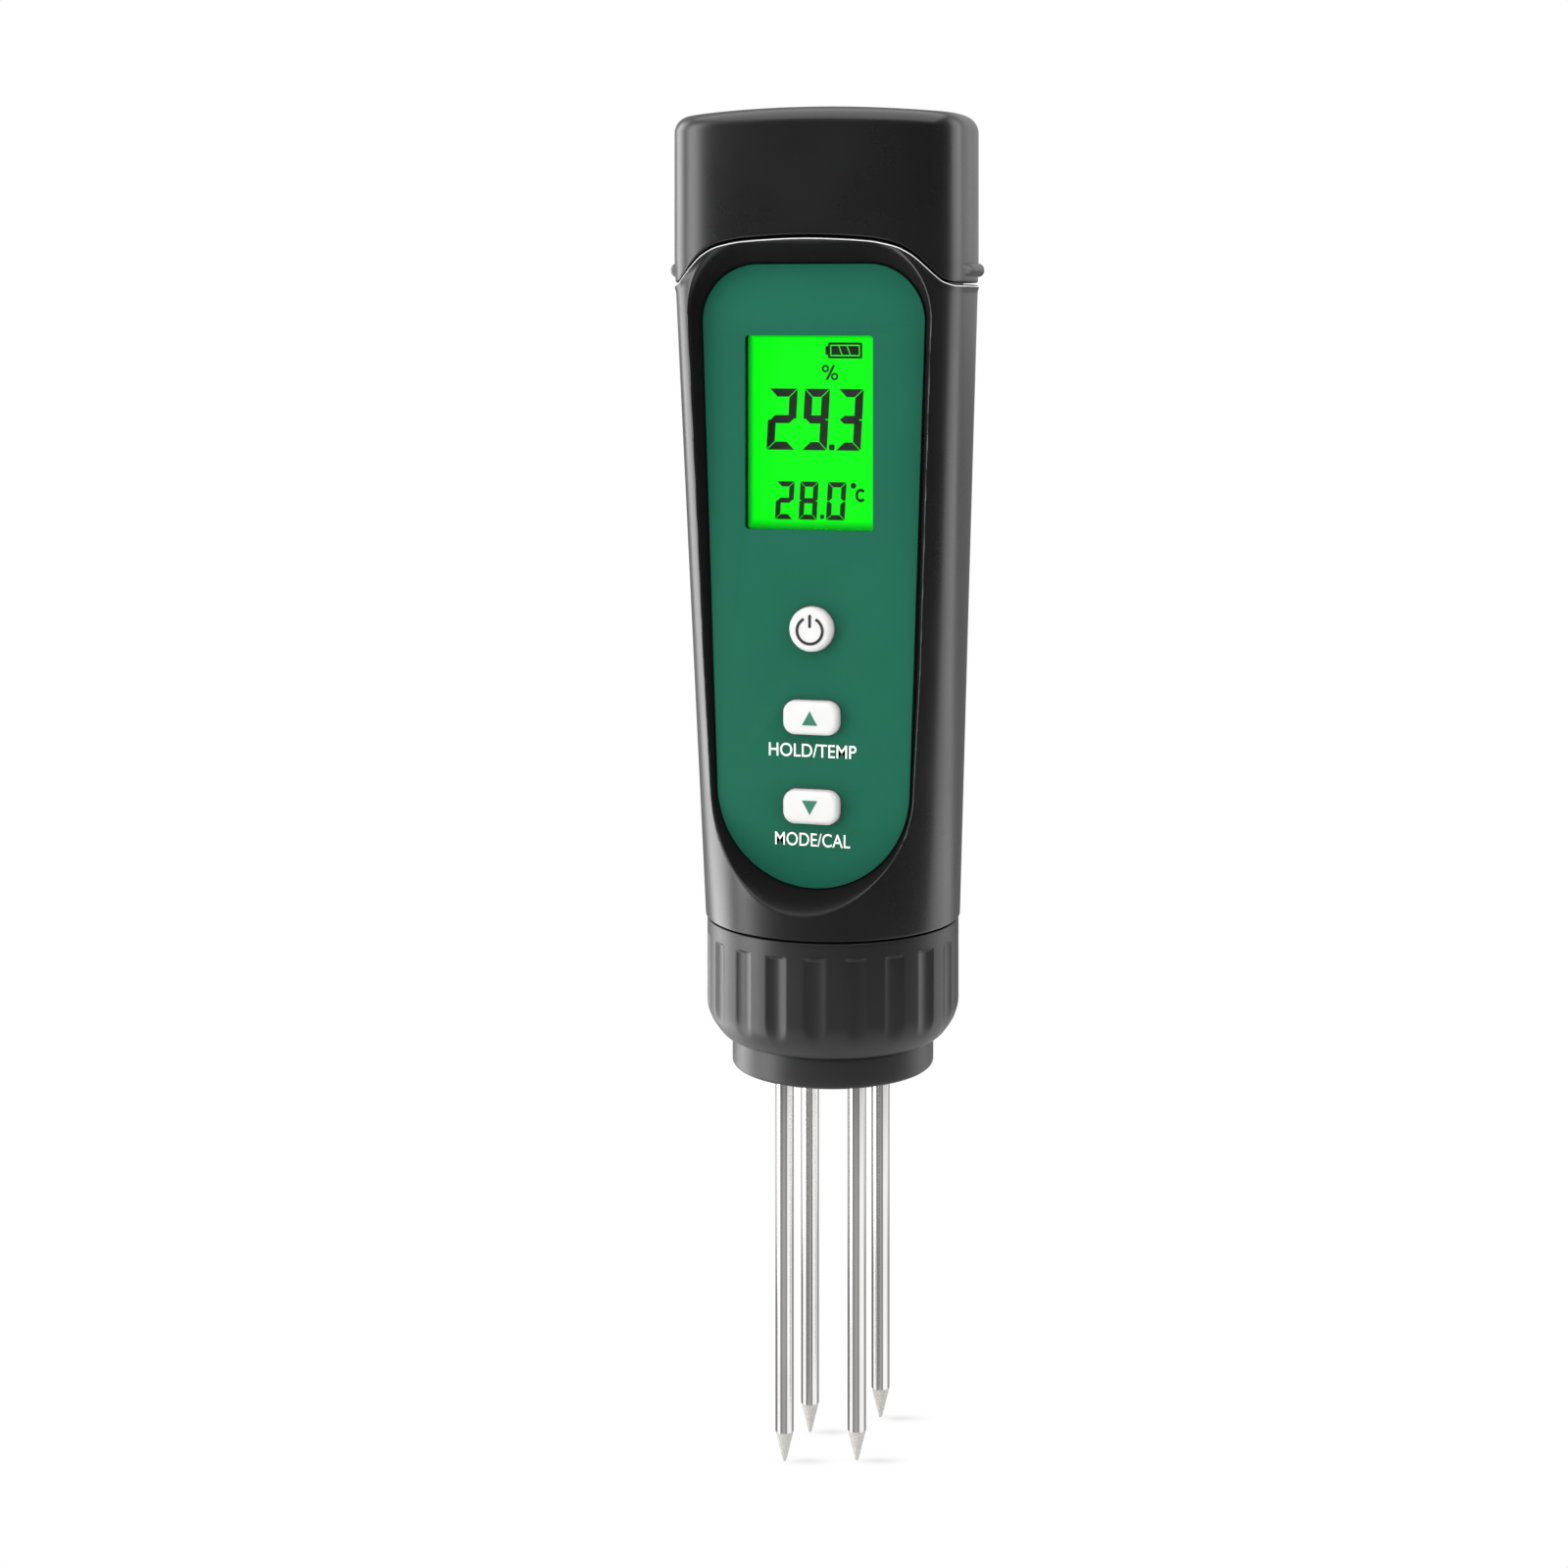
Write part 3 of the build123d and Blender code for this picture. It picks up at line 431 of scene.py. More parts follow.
# ------------------------------------------------------------------ battery cap
def cap():
    n = len(A)
    rings = []

    def ring(x, y, z):
        rings.append(np.stack([x, y, np.broadcast_to(z, x.shape)], 1))
    zs = z_seam(*sec_xy(A, Z_SEC, 0.0)) + SEAM_GAP
    z_in = Z_TOP - 3.4

    def crown(x, y):
        return Z_TOP - CROWN_R + np.sqrt(CROWN_R ** 2 - x * x - (y + 0.5) ** 2)
    # inside roof and wall, down to the seam
    x0, y0 = sec_xy(A, Z_SEC, -CAP_WALL)
    for s in (0.2, 0.5, 0.8, 0.97):
        ring(x0 * s, y0 * s, z_in)
    ring(x0 * 0.995, y0 * 0.995, z_in - 0.12)
    for z in np.linspace(z_in - 0.4, 113, 12):
        ring(x0, y0, z)
    ring(x0, y0, zs + 0.5)
    ring(*sec_xy(A, Z_SEC, -CAP_WALL + 0.1), zs + 0.12)
    ring(*sec_xy(A, Z_SEC, -CAP_WALL + 0.35), zs)
    ring(*sec_xy(A, Z_SEC, -0.6), zs)
    r = 0.3
    for t in np.radians([0, 25, 50, 75, 90]):
        z = zs + r - r * math.cos(t)
        ring(*sec_xy(A, np.minimum(z, Z_SEC), -r + r * math.sin(t)), z)
    # outside wall up to the rounded crown edge
    R = 2.3
    xe, ye = sec_xy(A, Z_SEC, -R)
    ztop = crown(xe, ye)
    z_a = zs + r
    for v in np.linspace(0.02, 1, 46):
        z = z_a * (1 - v) + (ztop - R) * v
        ring(*sec_xy(A, np.minimum(z, Z_SEC), 0.0), z)
    for t in np.radians(np.linspace(6, 90, 15)):
        x, y = sec_xy(A, Z_SEC, -R + R * math.cos(t))
        ring(x, y, ztop - R + R * math.sin(t))
    xc, yc = 0.0, -0.6
    for s in np.linspace(0.97, 0.04, 30):
        x, y = xc + (xe - xc) * s, yc + (ye - yc) * s
        ring(x, y, crown(x, y))
    ob = ring_mesh("cap_shell", rings, (0, 0, z_in), (xc, yc, float(crown(np.array(xc), np.array(yc)))))
    sharp_by_angle(ob, 50)
    # thumb ribs
    ribs = []
    for sx in (-1, 1):
        prof = []
        hx, hz = 1.5, 0.9
        for i in range(17):
            t = math.radians(-90 + 180 * i / 16)
            prof.append((0.75 + 0.75 * math.cos(t), hz * math.sin(t)))
        rr = []
        nose_end = [(-6.2, 0.25), (-6.05, 0.6), (-5.7, 0.86), (-5.2, 0.97), (-4.4, 1.0), (-3.4, 1.0)] if sx < 0 else [(-6.2, 0.04), (-5.7, 0.24), (-5.0, 0.48), (-4.2, 0.70), (-3.3, 0.87), (-2.4, 0.97)]
        for yy, s in nose_end + [(q, 1.0) for q in np.linspace(-1.6, 3.6, 8)] + [(4.6, 1.0), (5.3, 0.97), (5.8, 0.86), (6.15, 0.6), (6.3, 0.25)]:
            loop = [(0, -hz), (-0.9, -hz), (-0.9, hz), (0, hz)]
            pts = []
            for px, pz in prof:
                pts.append((sx * (18.8 + 0.1 + px * s), yy - 2.9, 106.65 + pz * (0.55 + 0.45 * s)))
            pts.append((sx * 18.0, yy - 2.9, 106.65 + hz * (0.55 + 0.45 * s)))
            pts.append((sx * 18.0, yy - 2.9, 106.65 - hz * (0.55 + 0.45 * s)))
            rr.append(np.array(pts))
        a, b = rr[0].mean(0), rr[-1].mean(0)
        ribs.append(ring_mesh("rib", rr, tuple(a), tuple(b)))
    rib = join("cap_thumb_ribs", ribs)
    rib.data.polygons.foreach_set("use_smooth", [True] * len(rib.data.polygons))
    sharp_by_angle(rib, 50)
    fix_normals(rib)
    return ob, rib


# ------------------------------------------------------------------ collar, nose and pins
def seam_edge():
    """A thin light grey strip on the shoulder lip, right under the cap, across the front half: a painted highlight
    standing in for the shine along the rounded edge.
    """
    rings = []
    r = 0.38
    zs = z_seam(*sec_xy(A, Z_SEC, 0.0))
    for t, lift in ((58, 0.0), (58, 0.02), (64, 0.03), (72, 0.03), (78, 0.02), (78, -0.05), (58, -0.05)):
        t = math.radians(t)
        z = zs - r + (r + lift) * math.cos(t)
        x, y = sec_xy(A, np.minimum(z, Z_SEC), -r + (r + 0.16) * math.sin(t))
        out = lift * np.clip((3.0 - y) / 3.0, -2.0, 1)
        nx, ny = x / np.hypot(x, y), y / np.hypot(x, y)
        yp = pocket_y(x, z)
        y = np.where(y < 0, smax(yp, y, 0.75), y)
        rings.append(np.stack([x + nx * out, y + ny * out, z], 1))
    ob = ring_mesh("shoulder_painted_highlight", rings, wrap=True)
    return ob


def collar():
    n = 480
    a = np.linspace(0, 2 * math.pi, n, endpoint=False)
    rc = ((FLUTE_W / 2) ** 2 + FLUTE_D ** 2) / (2 * FLUTE_D)
    cc = COL_R - FLUTE_D + rc
    d = (a - math.radians(7.0) + math.pi / FLUTES) % (2 * math.pi / FLUTES) - math.pi / FLUTES
    q = rc ** 2 - (cc * np.sin(d)) ** 2
    deep = np.where(q > 0, COL_R - (cc * np.cos(d) - np.sqrt(np.maximum(q, 0))), -1.0)

    def flute(z):
        k = np.clip((FLUTE_Z1 - z) / 0.35, 0.0, 1.0)
        return np.where(deep > 0, COL_R - 0.62 * deep * k + (0 if z < FLUTE_Z1 else 40.0), 40.0)
    zo = [COL_Z0, 4.3]
    prof = [(14.0, COL_Z0 - 0.0), (14.45, COL_Z0), (14.72, COL_Z0 + 0.06), (14.95, COL_Z0 + 0.25), (15.2, 4.8), (15.55, 5.25), (15.95, 5.8), (16.35, 6.45), (16.62, 7.0), (16.8, 7.55), (16.9, 8.1), (COL_R, 8.7)]
    prof += [(COL_R, z) for z in np.linspace(9.2, 15.6, 16)] + [(COL_R, z) for z in np.linspace(15.8, 18.2, 26)] + [(COL_R, 18.6), (COL_R, 19.1), (COL_R, COL_Z1 - 0.18), (COL_R - 0.03, COL_Z1 - 0.08), (COL_R - 0.09, COL_Z1 - 0.02), (COL_R - 0.18, COL_Z1)]
    rings = []

    def ring(r, z):
        rr = np.broadcast_to(r, a.shape)
        rings.append(np.stack([rr * np.cos(a), rr * np.sin(a), np.full(n, z)], 1))
    ring(LIP_BORE, 6.4)
    ring(LIP_BORE, 4.6)
    ring(LIP_BORE + 0.1, 4.38)
    for r, z in prof:
        ring(smin(np.full(n, r), flute(z), 0.30), z)
    for r, z in ((COL_BORE + 0.3, COL_Z1), (COL_BORE, COL_Z1 - 0.3), (COL_BORE, 13.0), (COL_BORE, 6.5), (COL_BORE - 0.05, 6.45)):
        ring(r, z)
    ob = ring_mesh("collar_grip_ring", rings, wrap=True)
    sharp_by_angle(ob, 45)
    return ob


def nose():
    prof = [(0, 0)] + [(r, 0) for r in (2, 6, 10, 12.4)] + [(13.05 + 0.5 * math.sin(t), 0.5 - 0.5 * math.cos(t)) for t in np.radians([10, 30, 50, 70, 90])]
    prof += [(NOSE_R, z) for z in (1.2, 2.4, 3.6, 4.08)] + [(NOSE_R - 0.04, 4.15), (NOSE_R - 0.55, 4.2), (NOSE_R - 0.6, 4.25), (NOSE_R - 0.6, 6.45), (NOSE_R - 0.55, 6.53), (THREAD_R - 0.2, 6.55), (THREAD_R - 0.1, 6.65), (THREAD_R - 0.1, 9.5), (THREAD_R - 0.2, 9.6), (12.0, 9.6), (PLUG_R, 9.7), (PLUG_R, 12.9), (PLUG_R - 0.1, 13.0),
             (10.75, 13.0), (10.75, 14.5), (PLUG_R - 0.1, 14.5), (PLUG_R, 14.6), (PLUG_R, 18.3), (PLUG_R - 0.3, 18.6), (10.4, 18.6), (10.3, 18.5), (10.3, 17.1), (9.9, 17.1), (9.9, 3.5), (0, 3.5)]
    ob = lathe("sensor_nose", prof, 256)
    cs = []
    for x, y in PINXY:
        cs.append(lathe("cutter", [(0, -1), (PIN_R + 0.03, -1), (PIN_R + 0.03, 0.1), (PIN_ROOT_R + 0.03, 0.1), (PIN_ROOT_R + 0.03, 5), (0, 5)], 48, cx=x, cy=y))
    boolean_cut(ob, cs)
    sharp_by_angle(ob, 40)
    return ob


_t = math.radians(PIN_TURN)
PINXY = [(sx * PIN_HALF * math.cos(_t) - sy * PIN_HALF * math.sin(_t), sx * PIN_HALF * math.sin(_t) + sy * PIN_HALF * math.cos(_t)) for sx, sy in ((-1, -1), (1, -1), (-1, 1), (1, 1))]
PIN_NODES = ["probe_pin_front_left", "probe_pin_front_right", "probe_pin_rear_left", "probe_pin_rear_right"]


def pin(name, x, y, short):
    z0, zc = PIN_Z0 + short, PIN_Z0 + short + PIN_TIP
    prof = [(0, z0)] + [(0.20 * math.sin(t), z0 + 0.20 - 0.20 * math.cos(t)) for t in np.radians([25, 50, 75])]
    prof += [(0.235 + (PIN_R - 0.235 - 0.03) * k, z0 + 0.22 + (PIN_TIP - 0.30) * k) for k in np.linspace(0, 1, 22)]
    prof += [(PIN_R - 0.008, zc - 0.03), (PIN_R, zc + 0.06)] + [(PIN_R, z) for z in np.linspace(zc + 0.8, 0.0, 32)]
    prof += [(PIN_R - 0.03, 0.05), (PIN_ROOT_R, 0.05), (PIN_ROOT_R, 0.15), (PIN_ROOT_R, 6.0), (PIN_ROOT_R, 13.5), (PIN_ROOT_R - 0.1, 13.65), (PIN_ROOT_R - 0.3, 13.7), (0, 13.7)]
    ob = lathe(name, prof, 72, cx=x, cy=y)
    sharp_by_angle(ob, 25)
    return ob


# ------------------------------------------------------------------ panel pieces
def placed(loop, x, z, s=1.0):
    return [(x + s * a, z + s * b) for a, b in loop]


def overlay():
    loops = [hull_outline(-0.12)]
    loops.append(placed(rrect(LCD_W, LCD_H, 0.5), LCD_X, LCD_ZC))
    loops.append(placed(circle(POWER_R + 0.14), 0, POWER_Z))
    for z in (UP_KEY_Z, DOWN_KEY_Z):
        loops.append(placed(rrect(KEY_W + 0.28, KEY_H + 0.28, KEY_R + 0.14), 0, z))
    ob = flat_shape("overlay_film", loops, Y_FACE, OVERLAY_T, 0.07)
    ob.data.polygons.foreach_set("use_smooth", [True] * len(ob.data.polygons))
    sharp_by_angle(ob, 30)
    return ob


def key(name, loop_of, z, flange_of):
    """Key body and hidden flange in one closed form, stacked along Y. loop_of(inset) gives the outline."""
    y0 = Y_FACE - 1.4
    rings = []

    def ring(lp, y):
        rings.append(np.array([(a, y, z + b) for a, b in lp]))
    for s in (0.25, 0.55, 0.8):
        base = loop_of(0.95)
        ring([(a * s, b * s) for a, b in base], y0 - 0.05 * (1 - s * s) + 0.0)
    r = 0.75
    for t in np.radians(np.linspace(0, 90, 11)):
        ring(loop_of(r - r * math.sin(t)), y0 + r - r * math.cos(t))
    for y in (y0 + 0.9, y0 + 1.2, y0 + 1.5, Y_FLOOR + 0.1):
        ring(loop_of(0.0), y)
    ring(flange_of(), Y_FLOOR + 0.1)
    ring(flange_of(), Y_FLOOR + 0.7)
    ob = ring_mesh(name, rings, (0, y0 - 0.05, z), (0, Y_FLOOR + 0.7, z))
    sharp_by_angle(ob, 50)
    return ob


SEGS = {"0": "abcdef", "2": "abged", "3": "abgcd", "8": "abcdefg", "9": "abcdfg"}


def digit(ch, x0, z0, w, h, th, gap, slant):
    """Seven segments as polygons: x0, z0 is the lower left corner."""
    hh = h / 2
    out = []

    def seg_h(zc, ta=1.0):
        g = gap
        return [(th * 0.15 + g, zc + 0), (th * 0.6 + g, zc + th / 2), (w - th * 0.6 - g, zc + th / 2), (w - th * 0.15 - g, zc), (w - th * 0.6 - g, zc - th / 2), (th * 0.6 + g, zc - th / 2)]

    def seg_v(xc, za, zb):
        g = gap
        return [(xc, za + g + th * 0.15), (xc + th / 2, za + g + th * 0.6), (xc + th / 2, zb - g - th * 0.6), (xc, zb - g - th * 0.15), (xc - th / 2, zb - g - th * 0.6), (xc - th / 2, za + g + th * 0.6)]
    shapes = {
        "a": [(gap * 0.7, h), (w - gap * 0.7, h), (w - th - gap * 0.7, h - th), (th + gap * 0.7, h - th)],
        "d": [(gap * 0.7, 0), (w - gap * 0.7, 0), (w - th - gap * 0.7, th), (th + gap * 0.7, th)],
        "g": [(gap + th * 0.25, hh), (th * 0.85 + gap * 0.6, hh + th / 2), (w - th * 0.85 - gap * 0.6, hh + th / 2), (w - gap - th * 0.25, hh), (w - th * 0.85 - gap * 0.6, hh - th / 2), (th * 0.85 + gap * 0.6, hh - th / 2)],
        "f": [(0, h - gap * 0.7), (th, h - th - gap * 0.7), (th, hh + th / 2 + gap * 0.5), (th * 0.45, hh + gap * 0.6), (0, hh + gap * 0.9)],
        "e": [(0, gap * 0.7), (th, th + gap * 0.7), (th, hh - th / 2 - gap * 0.5), (th * 0.45, hh - gap * 0.6), (0, hh - gap * 0.9)],
    }
    shapes["b"] = [(w - x, z) for x, z in shapes["f"]]
    shapes["c"] = [(w - x, z) for x, z in shapes["e"]]
    for s in SEGS[ch]:
        out.append([(x0 + x + slant * z, z0 + z) for x, z in shapes[s]])
    return out


Y_LCD = -8.3


def lcd_graphics():
    """Black segments: a battery symbol, %, 29.3, 28.0 and a degree C mark."""
    th = 0.035
    L, H_loops = [], []
    for ch, x0, w in (("2", -6.36, 3.87), ("9", -1.49, 3.42), ("3", 3.12, 3.40)):
        L += digit(ch, x0, 82.81, w, 8.12, 1.08, 0.10, 0.055)
    L.append(placed(rrect(0.78, 0.78, 0.24, 4), 2.61, 83.22))
    for ch, x0, w in (("2", -5.18, 2.43), ("8", -1.94, 2.47), ("0", 1.82, 2.53)):
        L += digit(ch, x0, 73.62, w, 5.02, 0.68, 0.07, 0.055)
    L.append(placed(rrect(0.56, 0.56, 0.18, 4), 1.29, 74.05))
    # degree mark and C
    L.append(placed(circle(0.38, 28), 5.55, 78.21))
    cx, cz, ro, ri = 6.56, 76.95, 0.90, 0.50
    o = [(cx + 0.80 * ro * math.cos(q), cz + ro * math.sin(q)) for q in np.radians(np.linspace(42, 318, 33))]
    i = [(cx + 0.80 * ri * math.cos(q) * 0.92, cz + ri * math.sin(q)) for q in np.radians(np.linspace(318, 42, 33))]
    L.append(o + i)
    # percent mark: two rings and a bar
    px, pz = 2.37, 93.08
    L.append([(px - 0.62, pz - 0.98), (px - 0.26, pz - 0.98), (px + 0.72, pz + 0.98), (px + 0.36, pz + 0.98)])
    for qx, qz in ((px - 0.62, pz + 0.52), (px + 0.62, pz - 0.52)):
        H_loops.append([placed(circle(0.50, 28), qx, qz), placed(circle(0.24, 20), qx, qz)])
    # battery symbol: outline, terminal on the left, filled bar with slanting slits
    bx, bz, bw, bh = 4.42, 96.0, 4.66, 2.12
    H_loops.append([placed(rrect(bw, bh, 0.22, 4), bx, bz), placed(rrect(bw - 0.62, bh - 0.62, 0.1, 3), bx, bz)])
    L.append(placed(rrect(0.36, 1.15, 0.06, 2), bx - bw / 2 - 0.16, bz))
    iw, ih = bw - 0.92, bh - 0.92
    cuts = [-iw / 2, -0.62, 0.50, iw / 2]
    for k in range(3):
        sl0 = 0.0 if k == 0 else -0.22
        sl1 = 0.0 if k == 2 else -0.22
        g0 = 0.0 if k == 0 else 0.07
        g1 = 0.0 if k == 2 else 0.07
        L.append([(bx + cuts[k] + g0 + sl0 * -1, bz - ih / 2), (bx + cuts[k + 1] - g1 + sl1 * -1, bz - ih / 2), (bx + cuts[k + 1] - g1 + sl1, bz + ih / 2), (bx + cuts[k] + g0 + sl0, bz + ih / 2)])
    parts = [flat_shape("p", [placed(lp, LCD_X, 0)], Y_LCD - th - 0.002, th) for lp in L]
    parts += [flat_shape("p", [placed(lp, LCD_X, 0) for lp in lps], Y_LCD - th - 0.002, th) for lps in H_loops]
    return join("lcd_segments", parts)


def text_mesh(name, s, size, x, z, y_front, depth=0.03, width=None):
    cu = bpy.data.curves.new(name, "FONT")
    cu.body = s
    cu.size = 1.0
    cu.offset = 0.005
    cu.align_x = "LEFT"
    cu.extrude = 0.5
    tmp = bpy.data.objects.new(name + "_c", cu)
    COL.objects.link(tmp)
    dg = bpy.context.evaluated_depsgraph_get()
    me = bpy.data.meshes.new_from_object(tmp.evaluated_get(dg))
    bpy.data.objects.remove(tmp)
    co = np.zeros(len(me.vertices) * 3)
    me.vertices.foreach_get("co", co)
    co = co.reshape(-1, 3)
    lo, hi = co.min(0), co.max(0)
    k = size / (hi[1] - lo[1])
    kx = k if width is None else width / (hi[0] - lo[0])
    out = np.stack([x + (co[:, 0] - (lo[0] + hi[0]) / 2) * kx, y_front + depth * (0.5 - co[:, 2]), z + (co[:, 1] - (lo[1] + hi[1]) / 2) * k], 1) * MM
    me.vertices.foreach_set("co", out.ravel())
    bm = bmesh.new()
    bm.from_mesh(me)
    bmesh.ops.remove_doubles(bm, verts=bm.verts, dist=2e-7)
    bmesh.ops.recalc_face_normals(bm, faces=bm.faces)
    bm.to_mesh(me)
    bm.free()
    me.name = name
    ob = bpy.data.objects.new(name, me)
    COL.objects.link(ob)
    return ob


def power_symbol(y):
    r, w = 1.72, 0.36
    g = math.radians(28)
    o, i = [], []
    for k in range(73):
        q = math.pi / 2 + g + (2 * math.pi - 2 * g) * k / 72
        o.append(((r + w / 2) * math.cos(q), (r + w / 2) * math.sin(q)))
        i.append(((r - w / 2) * math.cos(q), (r - w / 2) * math.sin(q)))
    ring = o + i[::-1]
    bar = rrect(w, 1.75, w / 2 - 0.01, 5)
    parts = [flat_shape("p", [placed(ring, 0, POWER_Z - 0.12)], y, 0.08), flat_shape("p", [placed(bar, 0, POWER_Z + 1.12)], y, 0.08)]
    return join("power_mark", parts)


def triangle(name, z, up, y):
    w, h = 2.05, 1.85
    s = 1 if up else -1
    lp = [(-w / 2, -s * h / 2), (w / 2, -s * h / 2), (0, s * h / 2)]
    if s < 0:
        lp = lp[::-1]
    return flat_shape(name, [placed(lp, 0, z + 0.05)], y, 0.08)


# ------------------------------------------------------------------ materials
class N:
    """Small helper for node materials."""

    def __init__(self, name):
        self.m = bpy.data.materials.new(name)
        self.m.use_nodes = True
        self.t = self.m.node_tree
        self.b = self.t.nodes["Principled BSDF"]
        self.out = self.t.nodes["Material Output"]
        self.co = self.t.nodes.new("ShaderNodeTexCoord").outputs["Object"]

    def node(self, kind, **kw):
        n = self.t.nodes.new(kind)
        for k, v in kw.items():
            setattr(n, k, v)
        return n

    def link(self, a, b):
        self.t.links.new(a, b)

    def setin(self, n, key, val):
        if hasattr(val, "links") or isinstance(val, bpy.types.NodeSocket):
            self.link(val, n.inputs[key])
        else:
            n.inputs[key].default_value = val

    def scaled(self, sx, sy, sz):
        n = self.node("ShaderNodeMapping")
        n.inputs["Scale"].default_value = (sx, sy, sz)
        self.link(self.co, n.inputs["Vector"])
        return n.outputs["Vector"]

    def noise(self, scale, detail=4.0, rough=0.55, vec=None):
        n = self.node("ShaderNodeTexNoise")
        n.inputs["Scale"].default_value = scale
        n.inputs["Detail"].default_value = detail
        n.inputs["Roughness"].default_value = rough
        self.link(vec if vec is not None else self.co, n.inputs["Vector"])
        return n.outputs["Fac"]

    def ramp(self, fac, lo, hi, a=0.0, b=1.0):
        n = self.node("ShaderNodeMapRange")
        n.interpolation_type = "SMOOTHSTEP"
        self.link(fac, n.inputs["Value"])
        n.inputs["From Min"].default_value = a
        n.inputs["From Max"].default_value = b
        n.inputs["To Min"].default_value = lo
        n.inputs["To Max"].default_value = hi
        return n.outputs["Result"]

    def math(self, op, a, b=None):
        n = self.node("ShaderNodeMath", operation=op)
        self.setin(n, 0, a)
        if b is not None:
            self.setin(n, 1, b)
        return n.outputs[0]

    def mix(self, fac, a, b):
        n = self.node("ShaderNodeMix", data_type="RGBA")
        self.setin(n, 0, fac)
        self.setin(n, 6, a if hasattr(a, "links") else (*a, 1.0) if len(a) == 3 else a)
        self.setin(n, 7, b if hasattr(b, "links") else (*b, 1.0) if len(b) == 3 else b)
        return n.outputs[2]

    def bump(self, height, strength, dist, prev=None):
        n = self.node("ShaderNodeBump")
        n.inputs["Strength"].default_value = strength
        n.inputs["Distance"].default_value = dist
        self.link(height, n.inputs["Height"])
        if prev is not None:
            self.link(prev, n.inputs["Normal"])
        return n.outputs["Normal"]

    def xyz(self):
        s = self.node("ShaderNodeSeparateXYZ")
        self.link(self.co, s.inputs[0])
        return s.outputs


def plastic(name, c, rough=0.38, grain=5200, gbump=0.10, vary=0.25, wear=0.35, spec=0.5, rvary=0.08, fleck=None, painted_light_fix=False, calm=False):
    g = N(name)
    big = g.noise(55, 3)
    fine = g.noise(900, 5, 0.6)
    dark = tuple(v * (1 - vary) for v in c)
    lite = tuple(min(v * (1 + vary), 1) for v in c)
    col = g.mix(g.ramp(big, 0, 1, 0.3, 0.7), dark, lite)
    if fleck:
        fl = g.noise(2600, 2, 0.5)
        col = g.mix(g.ramp(fl, 0, 0.55, 0.52, 0.72), col, fleck)
    x, y, z = g.xyz()
    rub = g.noise(1.0, 3, 0.5, g.scaled(700, 700, 90))
    worn = g.math("MULTIPLY", g.ramp(rub, 0, wear, 0.62, 0.85), g.ramp(fine, 0.3, 1.0, 0.3, 0.7))
    col = g.mix(worn, col, tuple(min(v * 1.25 + 0.001, 1) for v in c))
    if painted_light_fix:
        # painted light: the colour is scaled by height, 0.98 at the bottom, 0.755 from 34.5 mm up and 1.14 times that
        # above 103.5 mm, evening out how the lamps light the film
        painted_light_mul = g.node("ShaderNodeMix", data_type="RGBA", blend_type="MULTIPLY")
        painted_light_mul.inputs[0].default_value = 1.0
        g.link(col, painted_light_mul.inputs[6])
        painted_light_by_height = g.math("MULTIPLY", g.ramp(z, 0.98, 0.755, 0.0235, 0.0345), g.ramp(z, 1.0, 1.14, 0.0965, 0.1035))
        fc = g.node("ShaderNodeCombineXYZ")
        for i in range(3):
            g.link(painted_light_by_height, fc.inputs[i])
        g.link(fc.outputs[0], painted_light_mul.inputs[7])
        col = painted_light_mul.outputs[2]
        # painted shade: to every ray but the camera's the film is nearly black, so it throws no green bounce light
        # onto the pocket walls
        lpn = g.node("ShaderNodeLightPath")
        col = g.mix(lpn.outputs["Is Camera Ray"], tuple(v * 0.12 for v in (0.03, 0.04, 0.035)), col)
    g.setin(g.b, "Base Color", col)
    r = g.math("ADD", g.ramp(fine, rough - rvary, rough + rvary, 0.3, 0.7), g.ramp(big, -0.03, 0.03, 0.3, 0.7))
    if calm:
        # the lip under the panel is handled most and is matt in its middle
        low = g.ramp(z, 1, 0, 0.0245, 0.0275)
        mid = g.ramp(g.math("ABSOLUTE", g.math("ADD", x, -0.0005)), 1, 0, 0.0050, 0.0115)
        mask = g.math("MULTIPLY", g.math("MULTIPLY", low, mid), g.math("LESS_THAN", y, 0.0))
        r = g.math("ADD", r, g.math("MULTIPLY", mask, 0.14))
        spec = g.math("SUBTRACT", spec, g.math("MULTIPLY", mask, 0.30))
    g.setin(g.b, "Roughness", r)
    g.setin(g.b, "Specular IOR Level", spec)
    gr = g.noise(grain, 3, 0.6)
    g.link(g.bump(gr, gbump, 0.00003), g.b.inputs["Normal"])
    return g.m


def steel(name, c=(0.62, 0.62, 0.61), rough=0.2, scale=(3000, 3000, 60), metallic=1.0):
    g = N(name)
    br = g.noise(1.0, 5, 0.6, g.scaled(*scale))
    cl = g.noise(260, 3)
    g.setin(g.b, "Base Color", g.mix(g.ramp(cl, 0, 1, 0.3, 0.7), tuple(v * 0.86 for v in c), tuple(min(v * 1.08, 1) for v in c)))
    g.setin(g.b, "Metallic", metallic)
    g.setin(g.b, "Roughness", g.math("ADD", g.ramp(br, rough - 0.06, rough + 0.08, 0.3, 0.7), g.ramp(cl, -0.03, 0.03, 0.3, 0.7)))
    g.link(g.bump(br, 0.08, 0.00003), g.b.inputs["Normal"])
    return g.m


